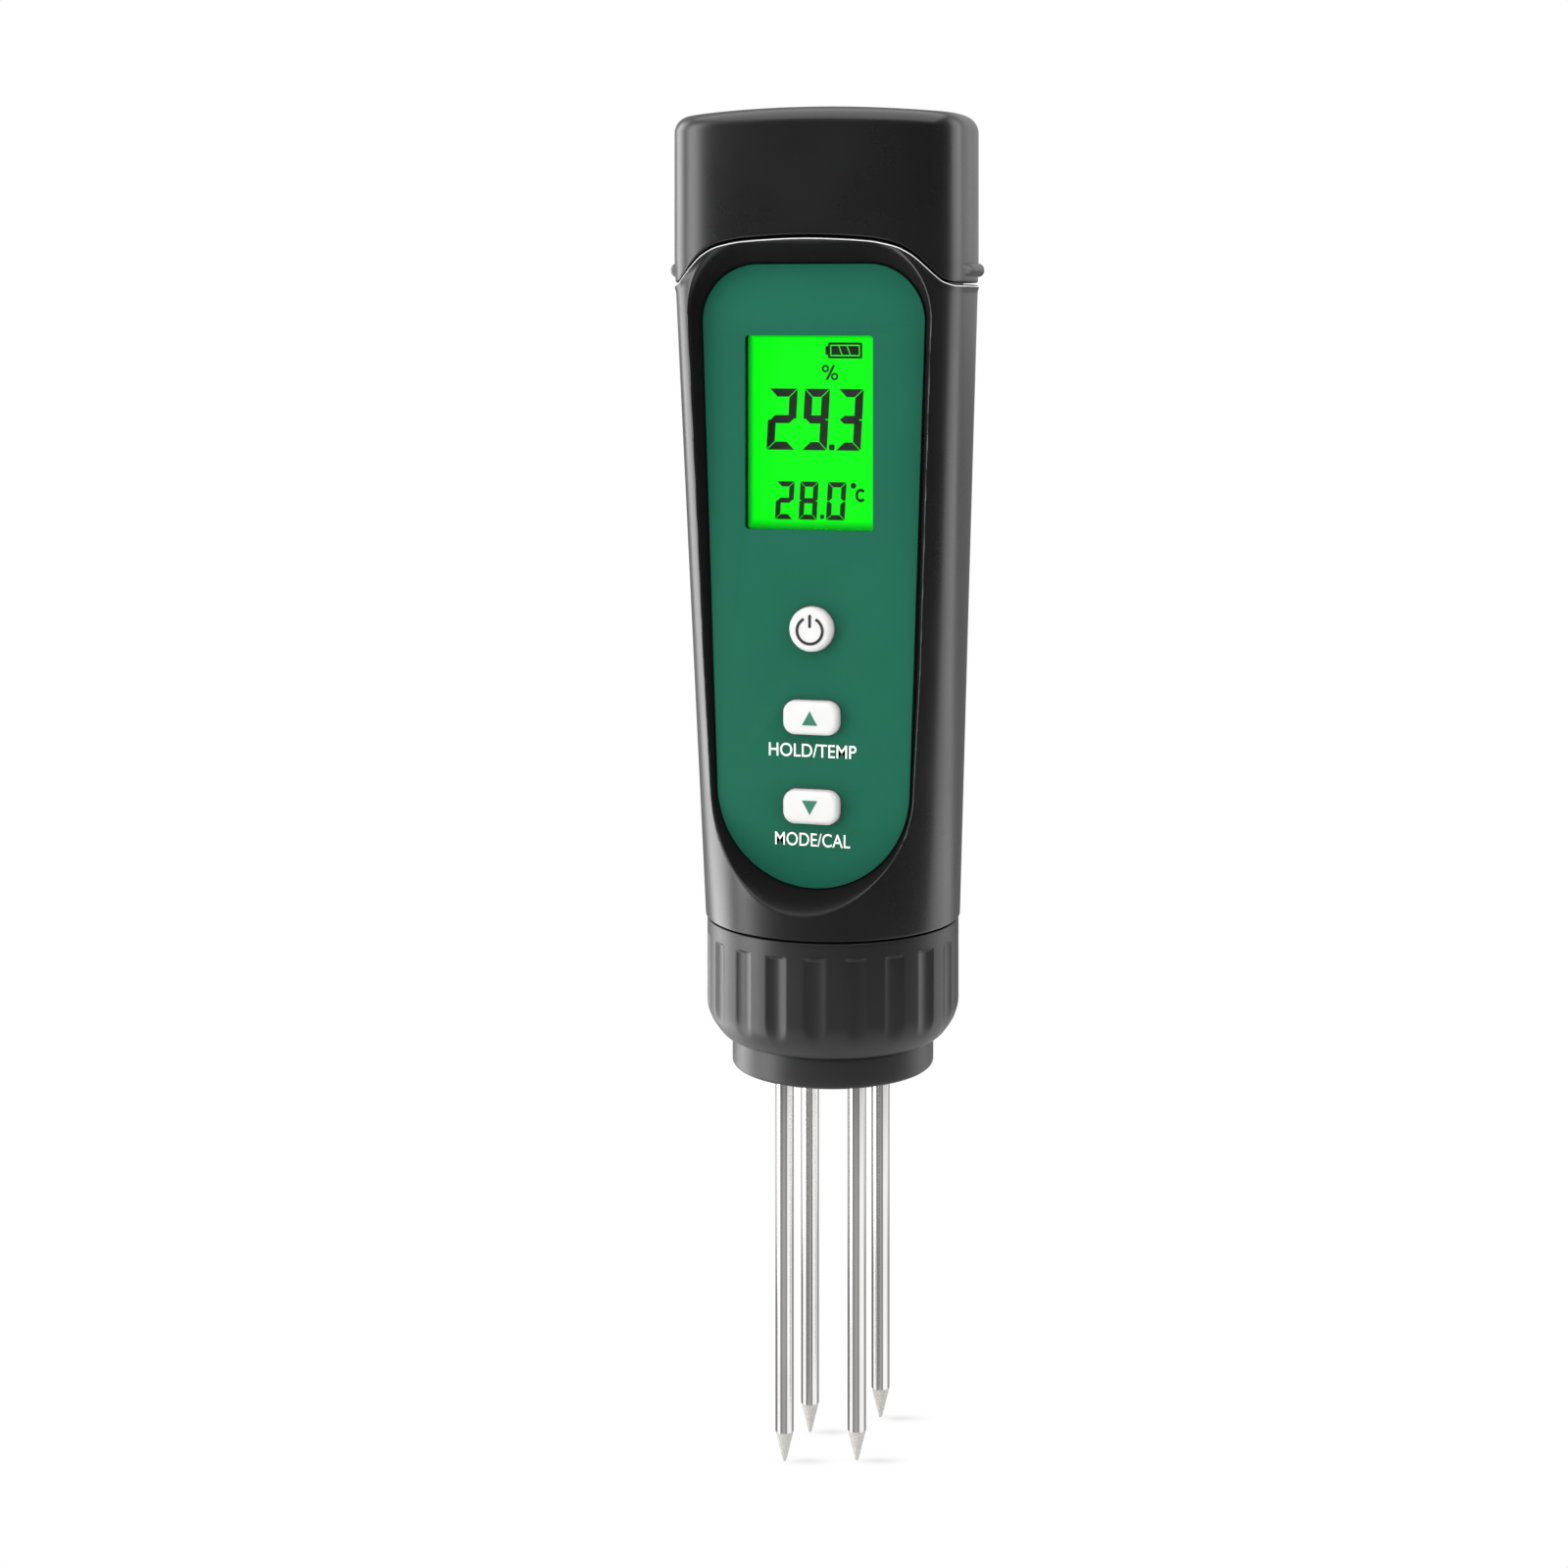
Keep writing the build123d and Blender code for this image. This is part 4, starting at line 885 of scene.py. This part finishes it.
def pin_steel():
    g = N("pin_steel_painted_reflections")
    x, y, z = g.xyz()
    tipz = (PIN_Z0 + PIN_TIP) * MM
    right = g.math("GREATER_THAN", x, 0.0)
    rear = g.math("GREATER_THAN", y, 0.0)
    fore = g.math("MULTIPLY", g.math("SUBTRACT", 1.0, rear), g.math("ADD", PIN_SHORT[0] * MM, g.math("MULTIPLY", right, (PIN_SHORT[1] - PIN_SHORT[0]) * MM)))
    lift = g.math("ADD", fore, g.math("MULTIPLY", rear, g.math("MULTIPLY", right, PIN_SHORT[3] * MM)))
    zr = g.math("SUBTRACT", z, lift)
    cone = g.ramp(zr, 1, 0, tipz - 0.12 * MM, tipz + 0.12 * MM)
    br = g.noise(1.0, 5, 0.6, g.scaled(2500, 2500, 40))
    lathe_n = g.noise(1.0, 4, 0.6, g.scaled(300, 300, 9000))
    tone = g.noise(1.0, 3, 0.5, g.scaled(200, 200, 60))
    # how far round the rod the seen point is, -1 at the left edge to 1 at the right; a colour ramp over it paints
    # reflections into the base colour: dark edges, bright bands and a darker middle streak
    geo = g.node("ShaderNodeNewGeometry")
    cr = g.node("ShaderNodeVectorMath", operation="CROSS_PRODUCT")
    flat = g.node("ShaderNodeVectorMath", operation="MULTIPLY")
    g.link(geo.outputs["Incoming"], flat.inputs[0])
    flat.inputs[1].default_value = (1, 1, 0)
    nv = g.node("ShaderNodeVectorMath", operation="NORMALIZE")
    g.link(flat.outputs[0], nv.inputs[0])
    g.link(nv.outputs[0], cr.inputs[0])
    g.link(geo.outputs["Normal"], cr.inputs[1])
    sp = g.node("ShaderNodeSeparateXYZ")
    g.link(cr.outputs[0], sp.inputs[0])
    u = g.math("ADD", g.math("MULTIPLY", sp.outputs[2], 0.5), 0.5)
    # painted reflections: light and dark bands set by the viewing angle, standing in for reflected light on the rod
    painted_reflection_ramp = g.node("ShaderNodeValToRGB")
    painted_reflection_stops = ((-1.0, 0.10), (-0.82, 0.13), (-0.74, 0.80), (-0.66, 1.0), (-0.50, 1.0), (-0.42, 0.24), (-0.32, 0.22), (-0.22, 0.36), (0.06, 0.38), (0.15, 0.24), (0.24, 0.30), (0.32, 0.98), (0.64, 1.0), (0.72, 0.80), (0.82, 0.26), (1.0, 0.24))
    painted_reflection_ramp.color_ramp.interpolation = "LINEAR"
    while len(painted_reflection_ramp.color_ramp.elements) < len(painted_reflection_stops):
        painted_reflection_ramp.color_ramp.elements.new(0.5)
    for e, (p, v) in zip(painted_reflection_ramp.color_ramp.elements, painted_reflection_stops):
        e.position = (p + 1) / 2
        e.color = (v, v * 0.985, v * 0.965, 1)
    g.link(u, painted_reflection_ramp.inputs[0])
    c = g.mix(g.ramp(tone, 0, 1, 0.3, 0.7), (0.90, 0.90, 0.90), (0.98, 0.98, 0.98))
    painted_reflection_mul = g.node("ShaderNodeMix", data_type="RGBA", blend_type="MULTIPLY")
    painted_reflection_mul.inputs[0].default_value = 1.0
    g.link(c, painted_reflection_mul.inputs[6])
    g.link(painted_reflection_ramp.outputs[0], painted_reflection_mul.inputs[7])
    c = g.mix(cone, painted_reflection_mul.outputs[2], g.mix(g.ramp(lathe_n, 0, 1, 0.3, 0.7), (0.47, 0.45, 0.43), (0.52, 0.50, 0.48)))
    g.setin(g.b, "Base Color", c)
    g.setin(g.b, "Metallic", g.math("SUBTRACT", 1.0, g.math("MULTIPLY", cone, 0.5)))
    r0 = g.ramp(br, 0.12, 0.18, 0.3, 0.7)
    rr = g.math("ADD", g.math("MULTIPLY", r0, g.math("SUBTRACT", 1.0, cone)), g.math("MULTIPLY", cone, g.ramp(lathe_n, 0.46, 0.54, 0.3, 0.7)))
    g.setin(g.b, "Roughness", rr)
    n1 = g.bump(br, 0.02, 0.00001)
    n2 = g.bump(g.math("MULTIPLY", lathe_n, cone), 0.05, 0.00001, n1)
    g.link(n2, g.b.inputs["Normal"])
    return g.m


def lcd_light():
    g = N("lcd_glow")
    x, y, z = g.xyz()
    zc = g.math("SUBTRACT", z, LCD_ZC * MM)
    x = g.math("SUBTRACT", x, LCD_X * MM)
    # painted shade: the green darkens towards each edge of the display, standing in for the shadow of the window's
    # recess
    el = g.ramp(g.math("MULTIPLY", x, -1.0), 0, 1, 7.9 * MM, 8.95 * MM)
    er = g.ramp(x, 0, 1, 8.3 * MM, 9.0 * MM)
    eb = g.ramp(g.math("MULTIPLY", zc, -1.0), 0, 1, 11.3 * MM, 13.2 * MM)
    et = g.ramp(zc, 0, 1, 12.2 * MM, 13.1 * MM)
    e = g.math("MAXIMUM", g.math("MAXIMUM", el, er), g.math("MAXIMUM", eb, et))
    nz = g.noise(240, 2)
    core = g.mix(g.ramp(nz, 0, 1, 0.3, 0.7), (0.0, 0.97, 0.002), (0.0, 1.0, 0.004))
    col = g.mix(e, core, (0.0, 0.27, 0.01))
    g.setin(g.b, "Base Color", (0.002, 0.05, 0.004, 1))
    g.setin(g.b, "Roughness", 0.6)
    g.link(g.bump(g.noise(3000, 2), 0.03, 0.00003), g.b.inputs["Normal"])
    g.setin(g.b, "Specular IOR Level", 0.1)
    g.setin(g.b, "Emission Color", col)
    lpn = g.node("ShaderNodeLightPath")
    g.link(lpn.outputs["Is Camera Ray"], g.b.inputs["Emission Strength"])
    return g.m


def clear_window():
    g = N("window_clear_acrylic")
    tr = g.node("ShaderNodeBsdfTransparent")
    gl = g.node("ShaderNodeBsdfGlossy")
    sm = g.noise(60, 3)
    g.setin(gl, "Roughness", g.ramp(sm, 0.04, 0.09, 0.3, 0.7))
    g.link(g.bump(g.noise(90, 2), 0.02, 0.0002), gl.inputs["Normal"])
    fr = g.node("ShaderNodeFresnel")
    fr.inputs["IOR"].default_value = 1.22
    mx = g.node("ShaderNodeMixShader")
    g.link(g.math("MULTIPLY", fr.outputs[0], 0.2), mx.inputs[0])
    g.link(tr.outputs[0], mx.inputs[1])
    g.link(gl.outputs[0], mx.inputs[2])
    g.link(mx.outputs[0], g.out.inputs["Surface"])
    g.m.diffuse_color = (0.8, 0.95, 0.85, 0.3)
    return g.m


def rubber_key(name, c=(0.58, 0.58, 0.575)):
    g = N(name)
    f = g.noise(320, 4)
    g.setin(g.b, "Base Color", g.mix(g.ramp(f, 0, 1, 0.3, 0.7), tuple(v * 0.97 for v in c), c))
    g.setin(g.b, "Roughness", g.ramp(f, 0.42, 0.54, 0.3, 0.7))
    g.setin(g.b, "Subsurface Weight", 0.12)
    g.setin(g.b, "Subsurface Radius", (0.0012, 0.001, 0.0009))
    g.link(g.bump(g.noise(5200, 3), 0.06, 0.00003), g.b.inputs["Normal"])
    return g.m


def board():
    g = N("board_resist")
    x, y, z = g.xyz()
    f = g.noise(120, 4)
    ln = g.node("ShaderNodeTexBrick")
    mp = g.node("ShaderNodeMapping")
    g.link(g.co, mp.inputs["Vector"])
    mp.inputs["Rotation"].default_value = (math.pi / 2, 0, 0)
    g.link(mp.outputs["Vector"], ln.inputs["Vector"])
    ln.inputs["Scale"].default_value = 240
    ln.inputs["Mortar Size"].default_value = 0.03
    g.setin(g.b, "Base Color", g.mix(g.math("MULTIPLY", ln.outputs["Fac"], 0.8), g.mix(g.ramp(f, 0, 1, 0.3, 0.7), (0.008, 0.10, 0.03), (0.012, 0.14, 0.045)), (0.03, 0.26, 0.09)))
    g.setin(g.b, "Roughness", g.ramp(f, 0.28, 0.4, 0.3, 0.7))
    g.link(g.bump(ln.outputs["Fac"], 0.2, 0.00005), g.b.inputs["Normal"])
    return g.m


def cell_wrap():
    g = N("cell_sleeve")
    x, y, z = g.xyz()
    band = g.math("GREATER_THAN", z, 0.1045)
    f = g.noise(180, 4)
    c = g.mix(band, g.mix(g.ramp(f, 0, 1, 0.3, 0.7), (0.02, 0.025, 0.03), (0.035, 0.04, 0.05)), g.mix(g.ramp(f, 0, 1, 0.3, 0.7), (0.55, 0.33, 0.12), (0.66, 0.42, 0.16)))
    top = g.math("GREATER_THAN", z, 0.11605)
    c = g.mix(top, c, (0.7, 0.7, 0.7))
    g.setin(g.b, "Base Color", c)
    g.setin(g.b, "Metallic", g.math("MULTIPLY", top, 0.9))
    g.setin(g.b, "Roughness", g.ramp(f, 0.24, 0.36, 0.3, 0.7))
    g.link(g.bump(g.noise(1500, 3), 0.05, 0.00003), g.b.inputs["Normal"])
    return g.m


def ink(name, c, rough=0.5):
    g = N(name)
    f = g.noise(1500, 3)
    g.setin(g.b, "Base Color", g.mix(g.ramp(f, 0, 1, 0.3, 0.7), tuple(v * 0.9 for v in c), c))
    g.setin(g.b, "Roughness", g.ramp(f, rough - 0.06, rough + 0.06, 0.3, 0.7))
    g.link(g.bump(f, 0.05, 0.00002), g.b.inputs["Normal"])
    return g.m


M_BODY = plastic("body_black_abs", (0.0075, 0.0075, 0.0080), rough=0.29, gbump=0.004, vary=0.03, wear=0.10, rvary=0.006, calm=True)
M_CAP = plastic("cap_black_abs", (0.0072, 0.0072, 0.0076), rough=0.28, gbump=0.004, vary=0.03, wear=0.10, rvary=0.006)
M_COLLAR = plastic("collar_black_abs", (0.0100, 0.0100, 0.0105), spec=0.42, rough=0.40, gbump=0.004, vary=0.03, wear=0.3, rvary=0.006)
# the green film carries painted light: colour scaled by height, and near black for all rays but the camera's
M_GREEN = plastic("overlay_green_film", (0.0112, 0.124, 0.074), rough=0.55, grain=5000, gbump=0.04, vary=0.03, wear=0.0, spec=0.1, fleck=(0.013, 0.133, 0.080), painted_light_fix=True)
# painted highlight: light grey plastic for the strip along the shoulder lip, standing in for the shine of its rounded
# edge
M_SEAM_HIGHLIGHT = plastic("seam_painted_highlight", (0.62, 0.62, 0.62), rough=0.35, gbump=0.01, vary=0.10, wear=0.1)
M_KEY = rubber_key("key_white_silicone")
M_INK = ink("mark_dark_ink", (0.02, 0.02, 0.022))
M_GREEN_INK = ink("mark_green_ink", (0.02, 0.16, 0.095))
M_LEGEND = ink("legend_white_ink", (0.86, 0.87, 0.86), 0.55)
M_SEG = ink("segment_black", (0.001, 0.004, 0.0015), 0.7)
SLOT_MAT = {
    "black_abs": M_BODY, "cap_abs": M_CAP, "collar_abs": M_COLLAR,
    "seal_rubber": plastic("seal_black_rubber", (0.02, 0.02, 0.02), rough=0.7, wear=0.0, spec=0.3),
    "spring_steel": steel("spring_nickel", (0.66, 0.64, 0.58), 0.22),
    "screw_steel": steel("screw_zinc", (0.58, 0.58, 0.6), 0.3, (900, 900, 900)),
    "overlay_green": M_GREEN, "window_clear": clear_window(), "lcd_glass": lcd_light(),
    "backlight": plastic("backlight_diffuser", (0.25, 0.6, 0.3), rough=0.6),
    "frame_plastic": plastic("frame_ivory", (0.42, 0.42, 0.40), rough=0.5, vary=0.05),
    "key_white": M_KEY, "stem_plastic": plastic("stem_plastic", (0.55, 0.55, 0.53), rough=0.5, vary=0.05),
    "membrane": rubber_key("membrane_grey", (0.5, 0.5, 0.5)), "board": board(),
    "chip_black": plastic("chip_black", (0.012, 0.012, 0.013), rough=0.45),
    "cell_wrap": cell_wrap(), "resin": plastic("potting_resin", (0.03, 0.025, 0.02), rough=0.25),
    "contact_brass": steel("contact_gold", (0.83, 0.62, 0.25), 0.2), "wire_cover": plastic("wire_red", (0.35, 0.03, 0.02), rough=0.4),
    "pin_steel": pin_steel(),
}

# ------------------------------------------------------------------ put it together
for row in frame["record"]["subparts"]:
    ob = NODES[row["node"]]
    ob.data.materials.clear()
    ob.data.materials.append(SLOT_MAT[row["material_slot"]])


def put(ob, body, slot_name, material, *nodes):
    ob.data.materials.clear()
    ob.data.materials.append(material)
    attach(ob, body)
    if nodes:
        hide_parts(*nodes)
    return ob


put(housing(), "main", "black_abs", M_BODY, "main_housing")
# painted highlight strip along the shoulder lip under the cap
put(seam_edge(), "main", "black_abs", M_SEAM_HIGHLIGHT)
_cap, _ribs = cap()
put(_cap, "cap", "cap_abs", M_CAP, "battery_cap")
put(_ribs, "cap", "cap_abs", M_CAP)
put(collar(), "collar", "collar_abs", M_COLLAR, "collar_ring")
put(nose(), "head", "black_abs", M_COLLAR, "sensor_head")
for nm, (x, y), short in zip(PIN_NODES, PINXY, PIN_SHORT):
    put(pin(nm + "_rod", x, y, short), "head", "pin_steel", SLOT_MAT["pin_steel"], nm)
put(overlay(), "main", "overlay_green", M_GREEN, "front_overlay")
win = flat_shape("window_pane", [placed(rrect(LCD_W - 0.1, LCD_H - 0.1, 0.45), LCD_X, LCD_ZC)], Y_FACE + 0.05, 1.65, 0.08)
put(win, "main", "window_clear", SLOT_MAT["window_clear"], "display_window")
put(lcd_graphics(), "main", "lcd_glass", M_SEG)

power_loop = lambda i: circle(POWER_R - i, 96)
pk = key("power_key_cap", power_loop, POWER_Z, lambda: circle(POWER_R + 0.8, 96))
put(pk, "power_key", "key_white", M_KEY, "power_button")


def rr_loop(i):
    return rrect(KEY_W - 2 * i, KEY_H - 2 * i, max(KEY_R - i, 0.2), 12)


for nm, z, body, node in (("up_key_cap", UP_KEY_Z, "up_key", "up_button"), ("down_key_cap", DOWN_KEY_Z, "down_key", "down_button")):
    k = key(nm, rr_loop, z, lambda: rrect(KEY_W + 1.4, KEY_H + 1.4, KEY_R + 0.7, 12))
    put(k, body, "key_white", M_KEY, node)
y_mark = Y_FACE - 1.4 - 0.085
put(power_symbol(y_mark), "power_key", "key_white", M_INK)
put(triangle("up_mark", UP_KEY_Z, True, y_mark), "up_key", "key_white", M_GREEN_INK)
put(triangle("down_mark", DOWN_KEY_Z, False, y_mark), "down_key", "key_white", M_GREEN_INK)
y_leg = Y_FACE - 0.028
put(text_mesh("legend_hold", "HOLD/TEMP", 1.75, 0, 43.5, y_leg, 0.03, 11.9), "main", "key_white", M_LEGEND)
put(text_mesh("legend_mode", "MODE/CAL", 1.75, 0, 31.8, y_leg, 0.03, 10.2), "main", "key_white", M_LEGEND)

# ------------------------------------------------------------------ stage, light, camera
# light seen in reflections, by direction: -1 towards the camera, 1 straight behind the object
GLOSS_STOPS = ((-1.0, 0.03), (-0.75, 0.04), (-0.45, 0.12), (-0.1, 0.35), (0.25, 0.55), (0.6, 0.62), (1.0, 0.62))
GLOSS_GAIN = 1.1
FILL = 0.40
VIEW_AZ = math.radians(15.0)
BACK = (-math.sin(VIEW_AZ), math.cos(VIEW_AZ), 0.0)


# tall soft strips seen in reflections only: azimuth from the camera direction (left is minus), half width, brightness
STRIPS = ((-76.0, 15.0, 6.0), (-118.0, 20.0, 5.0), (112.0, 24.0, 1.65))


def direction_light(t, vec, gain, strips=True):
    """Strength socket for a direction vector socket: a base by direction, and the strips."""
    def m(op, a, b=None, c=None):
        n = t.nodes.new("ShaderNodeMath")
        n.operation = op
        for i, v in enumerate((a, b, c)):
            if v is None:
                continue
            if isinstance(v, bpy.types.NodeSocket):
                t.links.new(v, n.inputs[i])
            else:
                n.inputs[i].default_value = v
        return n.outputs[0]
    sp = t.nodes.new("ShaderNodeSeparateXYZ")
    t.links.new(vec, sp.inputs[0])
    x, y, z = sp.outputs
    dot = m("ADD", m("MULTIPLY", x, BACK[0]), m("MULTIPLY", y, BACK[1]))
    cr = t.nodes.new("ShaderNodeValToRGB")
    cr.color_ramp.interpolation = "EASE"
    while len(cr.color_ramp.elements) < len(GLOSS_STOPS):
        cr.color_ramp.elements.new(0.5)
    for e, (p, v) in zip(cr.color_ramp.elements, GLOSS_STOPS):
        e.position = (p + 1) / 2
        e.color = (v, v, v, 1)
    t.links.new(m("MULTIPLY_ADD", dot, 0.5, 0.5), cr.inputs[0])
    out = m("MULTIPLY", cr.outputs["Color"], gain)
    if not strips:
        return out
    flat = m("SQRT", m("ADD", m("MULTIPLY", x, x), m("ADD", m("MULTIPLY", y, y), 1e-6)))
    for az_d, half, power in STRIPS:
        q = math.radians(az_d)
        # the direction of the strip: towards the camera turned by q
        fx, fy = -BACK[0], -BACK[1]
        dx, dy = fx * math.cos(q) - fy * math.sin(q), fx * math.sin(q) + fy * math.cos(q)
        c = m("DIVIDE", m("ADD", m("MULTIPLY", x, dx), m("MULTIPLY", y, dy)), flat)
        n = t.nodes.new("ShaderNodeMapRange")
        n.interpolation_type = "SMOOTHSTEP"
        t.links.new(c, n.inputs["Value"])
        n.inputs["From Min"].default_value = math.cos(math.radians(half))
        n.inputs["From Max"].default_value = math.cos(math.radians(half * 0.45))
        n.inputs["To Min"].default_value = 0.0
        n.inputs["To Max"].default_value = power
        h = t.nodes.new("ShaderNodeMapRange")
        h.interpolation_type = "SMOOTHSTEP"
        t.links.new(m("ABSOLUTE", z), h.inputs["Value"])
        h.inputs["From Min"].default_value = 0.75
        h.inputs["From Max"].default_value = 0.35
        h.inputs["To Min"].default_value = 0.0
        h.inputs["To Max"].default_value = 1.0
        out = m("ADD", out, m("MULTIPLY", n.outputs[0], h.outputs[0]))
    return out


bpy.ops.mesh.primitive_plane_add(size=12.0, location=(0, 0, PIN_Z0 * MM))
floor = bpy.context.object
floor.name = "floor"
fm = N("floor_white")
ft = fm.t
pos = fm.node("ShaderNodeNewGeometry").outputs["Position"]
sep = fm.node("ShaderNodeSeparateXYZ")
fm.link(pos, sep.inputs[0])
# soft contact shade at each pin tip, drawn out to the viewer's right
shade = None
rx, ry = math.cos(VIEW_AZ), math.sin(VIEW_AZ)
for (x, y), sh in zip(PINXY, PIN_SHORT):
    dx = fm.math("SUBTRACT", sep.outputs[0], (x + 3.0 * rx + 2.2 * sh * BACK[0]) * MM)
    dy = fm.math("SUBTRACT", sep.outputs[1], (y + 3.0 * ry + 2.2 * sh * BACK[1]) * MM)
    along = fm.math("ADD", fm.math("MULTIPLY", dx, rx / (2.6 * MM)), fm.math("MULTIPLY", dy, ry / (2.6 * MM)))
    across = fm.math("ADD", fm.math("MULTIPLY", dx, -ry / (0.9 * MM)), fm.math("MULTIPLY", dy, rx / (0.9 * MM)))
    q = fm.math("ADD", fm.math("MULTIPLY", along, along), fm.math("MULTIPLY", across, across))
    blob = fm.math("POWER", 2.718, fm.math("MULTIPLY", q, -1.0))
    shade = blob if shade is None else fm.math("ADD", shade, blob)
# the viewer sees the white surround with the contact shade laid over it, so a lowered head is not cut off
shadow_strength = fm.ramp(fm.noise(3, 2), 0.165, 0.17, 0.3, 0.7)
clear_cam = fm.node("ShaderNodeBsdfTransparent")
dark_cam = fm.node("ShaderNodeEmission")
dark_cam.inputs["Strength"].default_value = 0.0
em_cam = fm.node("ShaderNodeMixShader")
fm.link(fm.math("MINIMUM", fm.math("MULTIPLY", shade, shadow_strength), 1.0), em_cam.inputs[0])
fm.link(clear_cam.outputs[0], em_cam.inputs[1])
fm.link(dark_cam.outputs[0], em_cam.inputs[2])
pn = fm.node("ShaderNodeVectorMath", operation="NORMALIZE")
fm.link(pos, pn.inputs[0])
em_ref = fm.node("ShaderNodeEmission")
rad = fm.node("ShaderNodeVectorMath", operation="LENGTH")
fm.link(pos, rad.inputs[0])
near = fm.ramp(rad.outputs["Value"], 1.0, 0.0, 0.13, 0.27)
fm.link(fm.math("MAXIMUM", fm.math("MULTIPLY", near, 1.0), direction_light(ft, pn.outputs[0], 0.5, True)), em_ref.inputs["Strength"])
fm.setin(fm.b, "Base Color", (0.80, 0.80, 0.80, 1))
fm.setin(fm.b, "Roughness", 0.9)
fm.setin(fm.b, "Specular IOR Level", 0.0)
flp = fm.node("ShaderNodeLightPath")
f1 = fm.node("ShaderNodeMixShader")
fm.link(flp.outputs["Is Glossy Ray"], f1.inputs[0])
fm.link(fm.b.outputs[0], f1.inputs[1])
fm.link(em_ref.outputs[0], f1.inputs[2])
f2 = fm.node("ShaderNodeMixShader")
fm.link(flp.outputs["Is Camera Ray"], f2.inputs[0])
fm.link(f1.outputs[0], f2.inputs[1])
fm.link(em_cam.outputs[0], f2.inputs[2])
fm.link(f2.outputs[0], fm.out.inputs["Surface"])
floor.data.materials.append(fm.m)
floor.visible_shadow = False

w = bpy.data.worlds.new("studio")
SC.world = w
w.use_nodes = True
wt = w.node_tree
wt.nodes.clear()
wo = wt.nodes.new("ShaderNodeOutputWorld")
b_cam = wt.nodes.new("ShaderNodeBackground")
b_env = wt.nodes.new("ShaderNodeBackground")
lp = wt.nodes.new("ShaderNodeLightPath")
mx = wt.nodes.new("ShaderNodeMixShader")
b_cam.inputs[0].default_value = (1, 1, 1, 1)
tc = wt.nodes.new("ShaderNodeTexCoord")
sel = wt.nodes.new("ShaderNodeMix")
sel.data_type = "FLOAT"
wt.links.new(lp.outputs["Is Diffuse Ray"], sel.inputs[0])
wt.links.new(direction_light(wt, tc.outputs["Generated"], GLOSS_GAIN), sel.inputs[2])
sel.inputs[3].default_value = FILL
wt.links.new(sel.outputs[0], b_env.inputs["Strength"])
b_env.inputs[0].default_value = (1, 1, 1, 1)
wt.links.new(lp.outputs["Is Camera Ray"], mx.inputs[0])
wt.links.new(b_env.outputs[0], mx.inputs[1])
wt.links.new(b_cam.outputs[0], mx.inputs[2])
wt.links.new(mx.outputs[0], wo.inputs[0])


def area(name, loc, target, sx, sy, power, glossy=False):
    ld = bpy.data.lights.new(name, "AREA")
    ld.shape = "RECTANGLE"
    ld.size, ld.size_y, ld.energy = sx, sy, power
    lo = bpy.data.objects.new(name, ld)
    COL.objects.link(lo)
    lo.location = loc
    lo.rotation_euler = (Vector(target) - Vector(loc)).to_track_quat("-Z", "Y").to_euler()
    lo.visible_glossy = glossy
    return lo


area("top_box", (0.05, -0.15, 0.85), (0, 0, 0), 1.3, 1.3, 13.0, True)
area("front_left", (-0.75, -0.85, 0.45), (0, 0, 0.04), 0.5, 0.9, 5.0)
area("front_right", (0.95, -0.55, 0.35), (0, 0, 0.04), 0.4, 0.9, 3.0)

cd = bpy.data.cameras.new("camera")
cam = bpy.data.objects.new("camera", cd)
COL.objects.link(cam)
AZ, DIST, CAM_Z = math.radians(15.0), 0.345, 0.1015
cam.location = (math.sin(AZ) * DIST, -math.cos(AZ) * DIST, CAM_Z)
cam.rotation_euler = (math.pi / 2, 0, AZ)
cd.sensor_width = 36.0
cd.lens = 58.6
cd.clip_start = 0.01


def shift_driver(path, value):
    """The rise and cross of the lens belong to the photo camera's place only: another place gets none."""
    d = cd.driver_add(path).driver
    d.type = "SCRIPTED"
    for nm, ax in (("px", "LOC_X"), ("pz", "LOC_Z")):
        v = d.variables.new()
        v.name = nm
        v.type = "TRANSFORMS"
        v.targets[0].id = cam
        v.targets[0].transform_type = ax
        v.targets[0].transform_space = "WORLD_SPACE"
    d.expression = f"{value} if abs(px - {cam.location.x:.5f}) < 0.001 and abs(pz - {CAM_Z:.5f}) < 0.001 else 0.0"


shift_driver("shift_x", -0.03125)
shift_driver("shift_y", -0.303125)
SC.camera = cam
SC.view_settings.view_transform = "Standard"
SC.view_settings.look = "None"

bpy.context.view_layer.update()
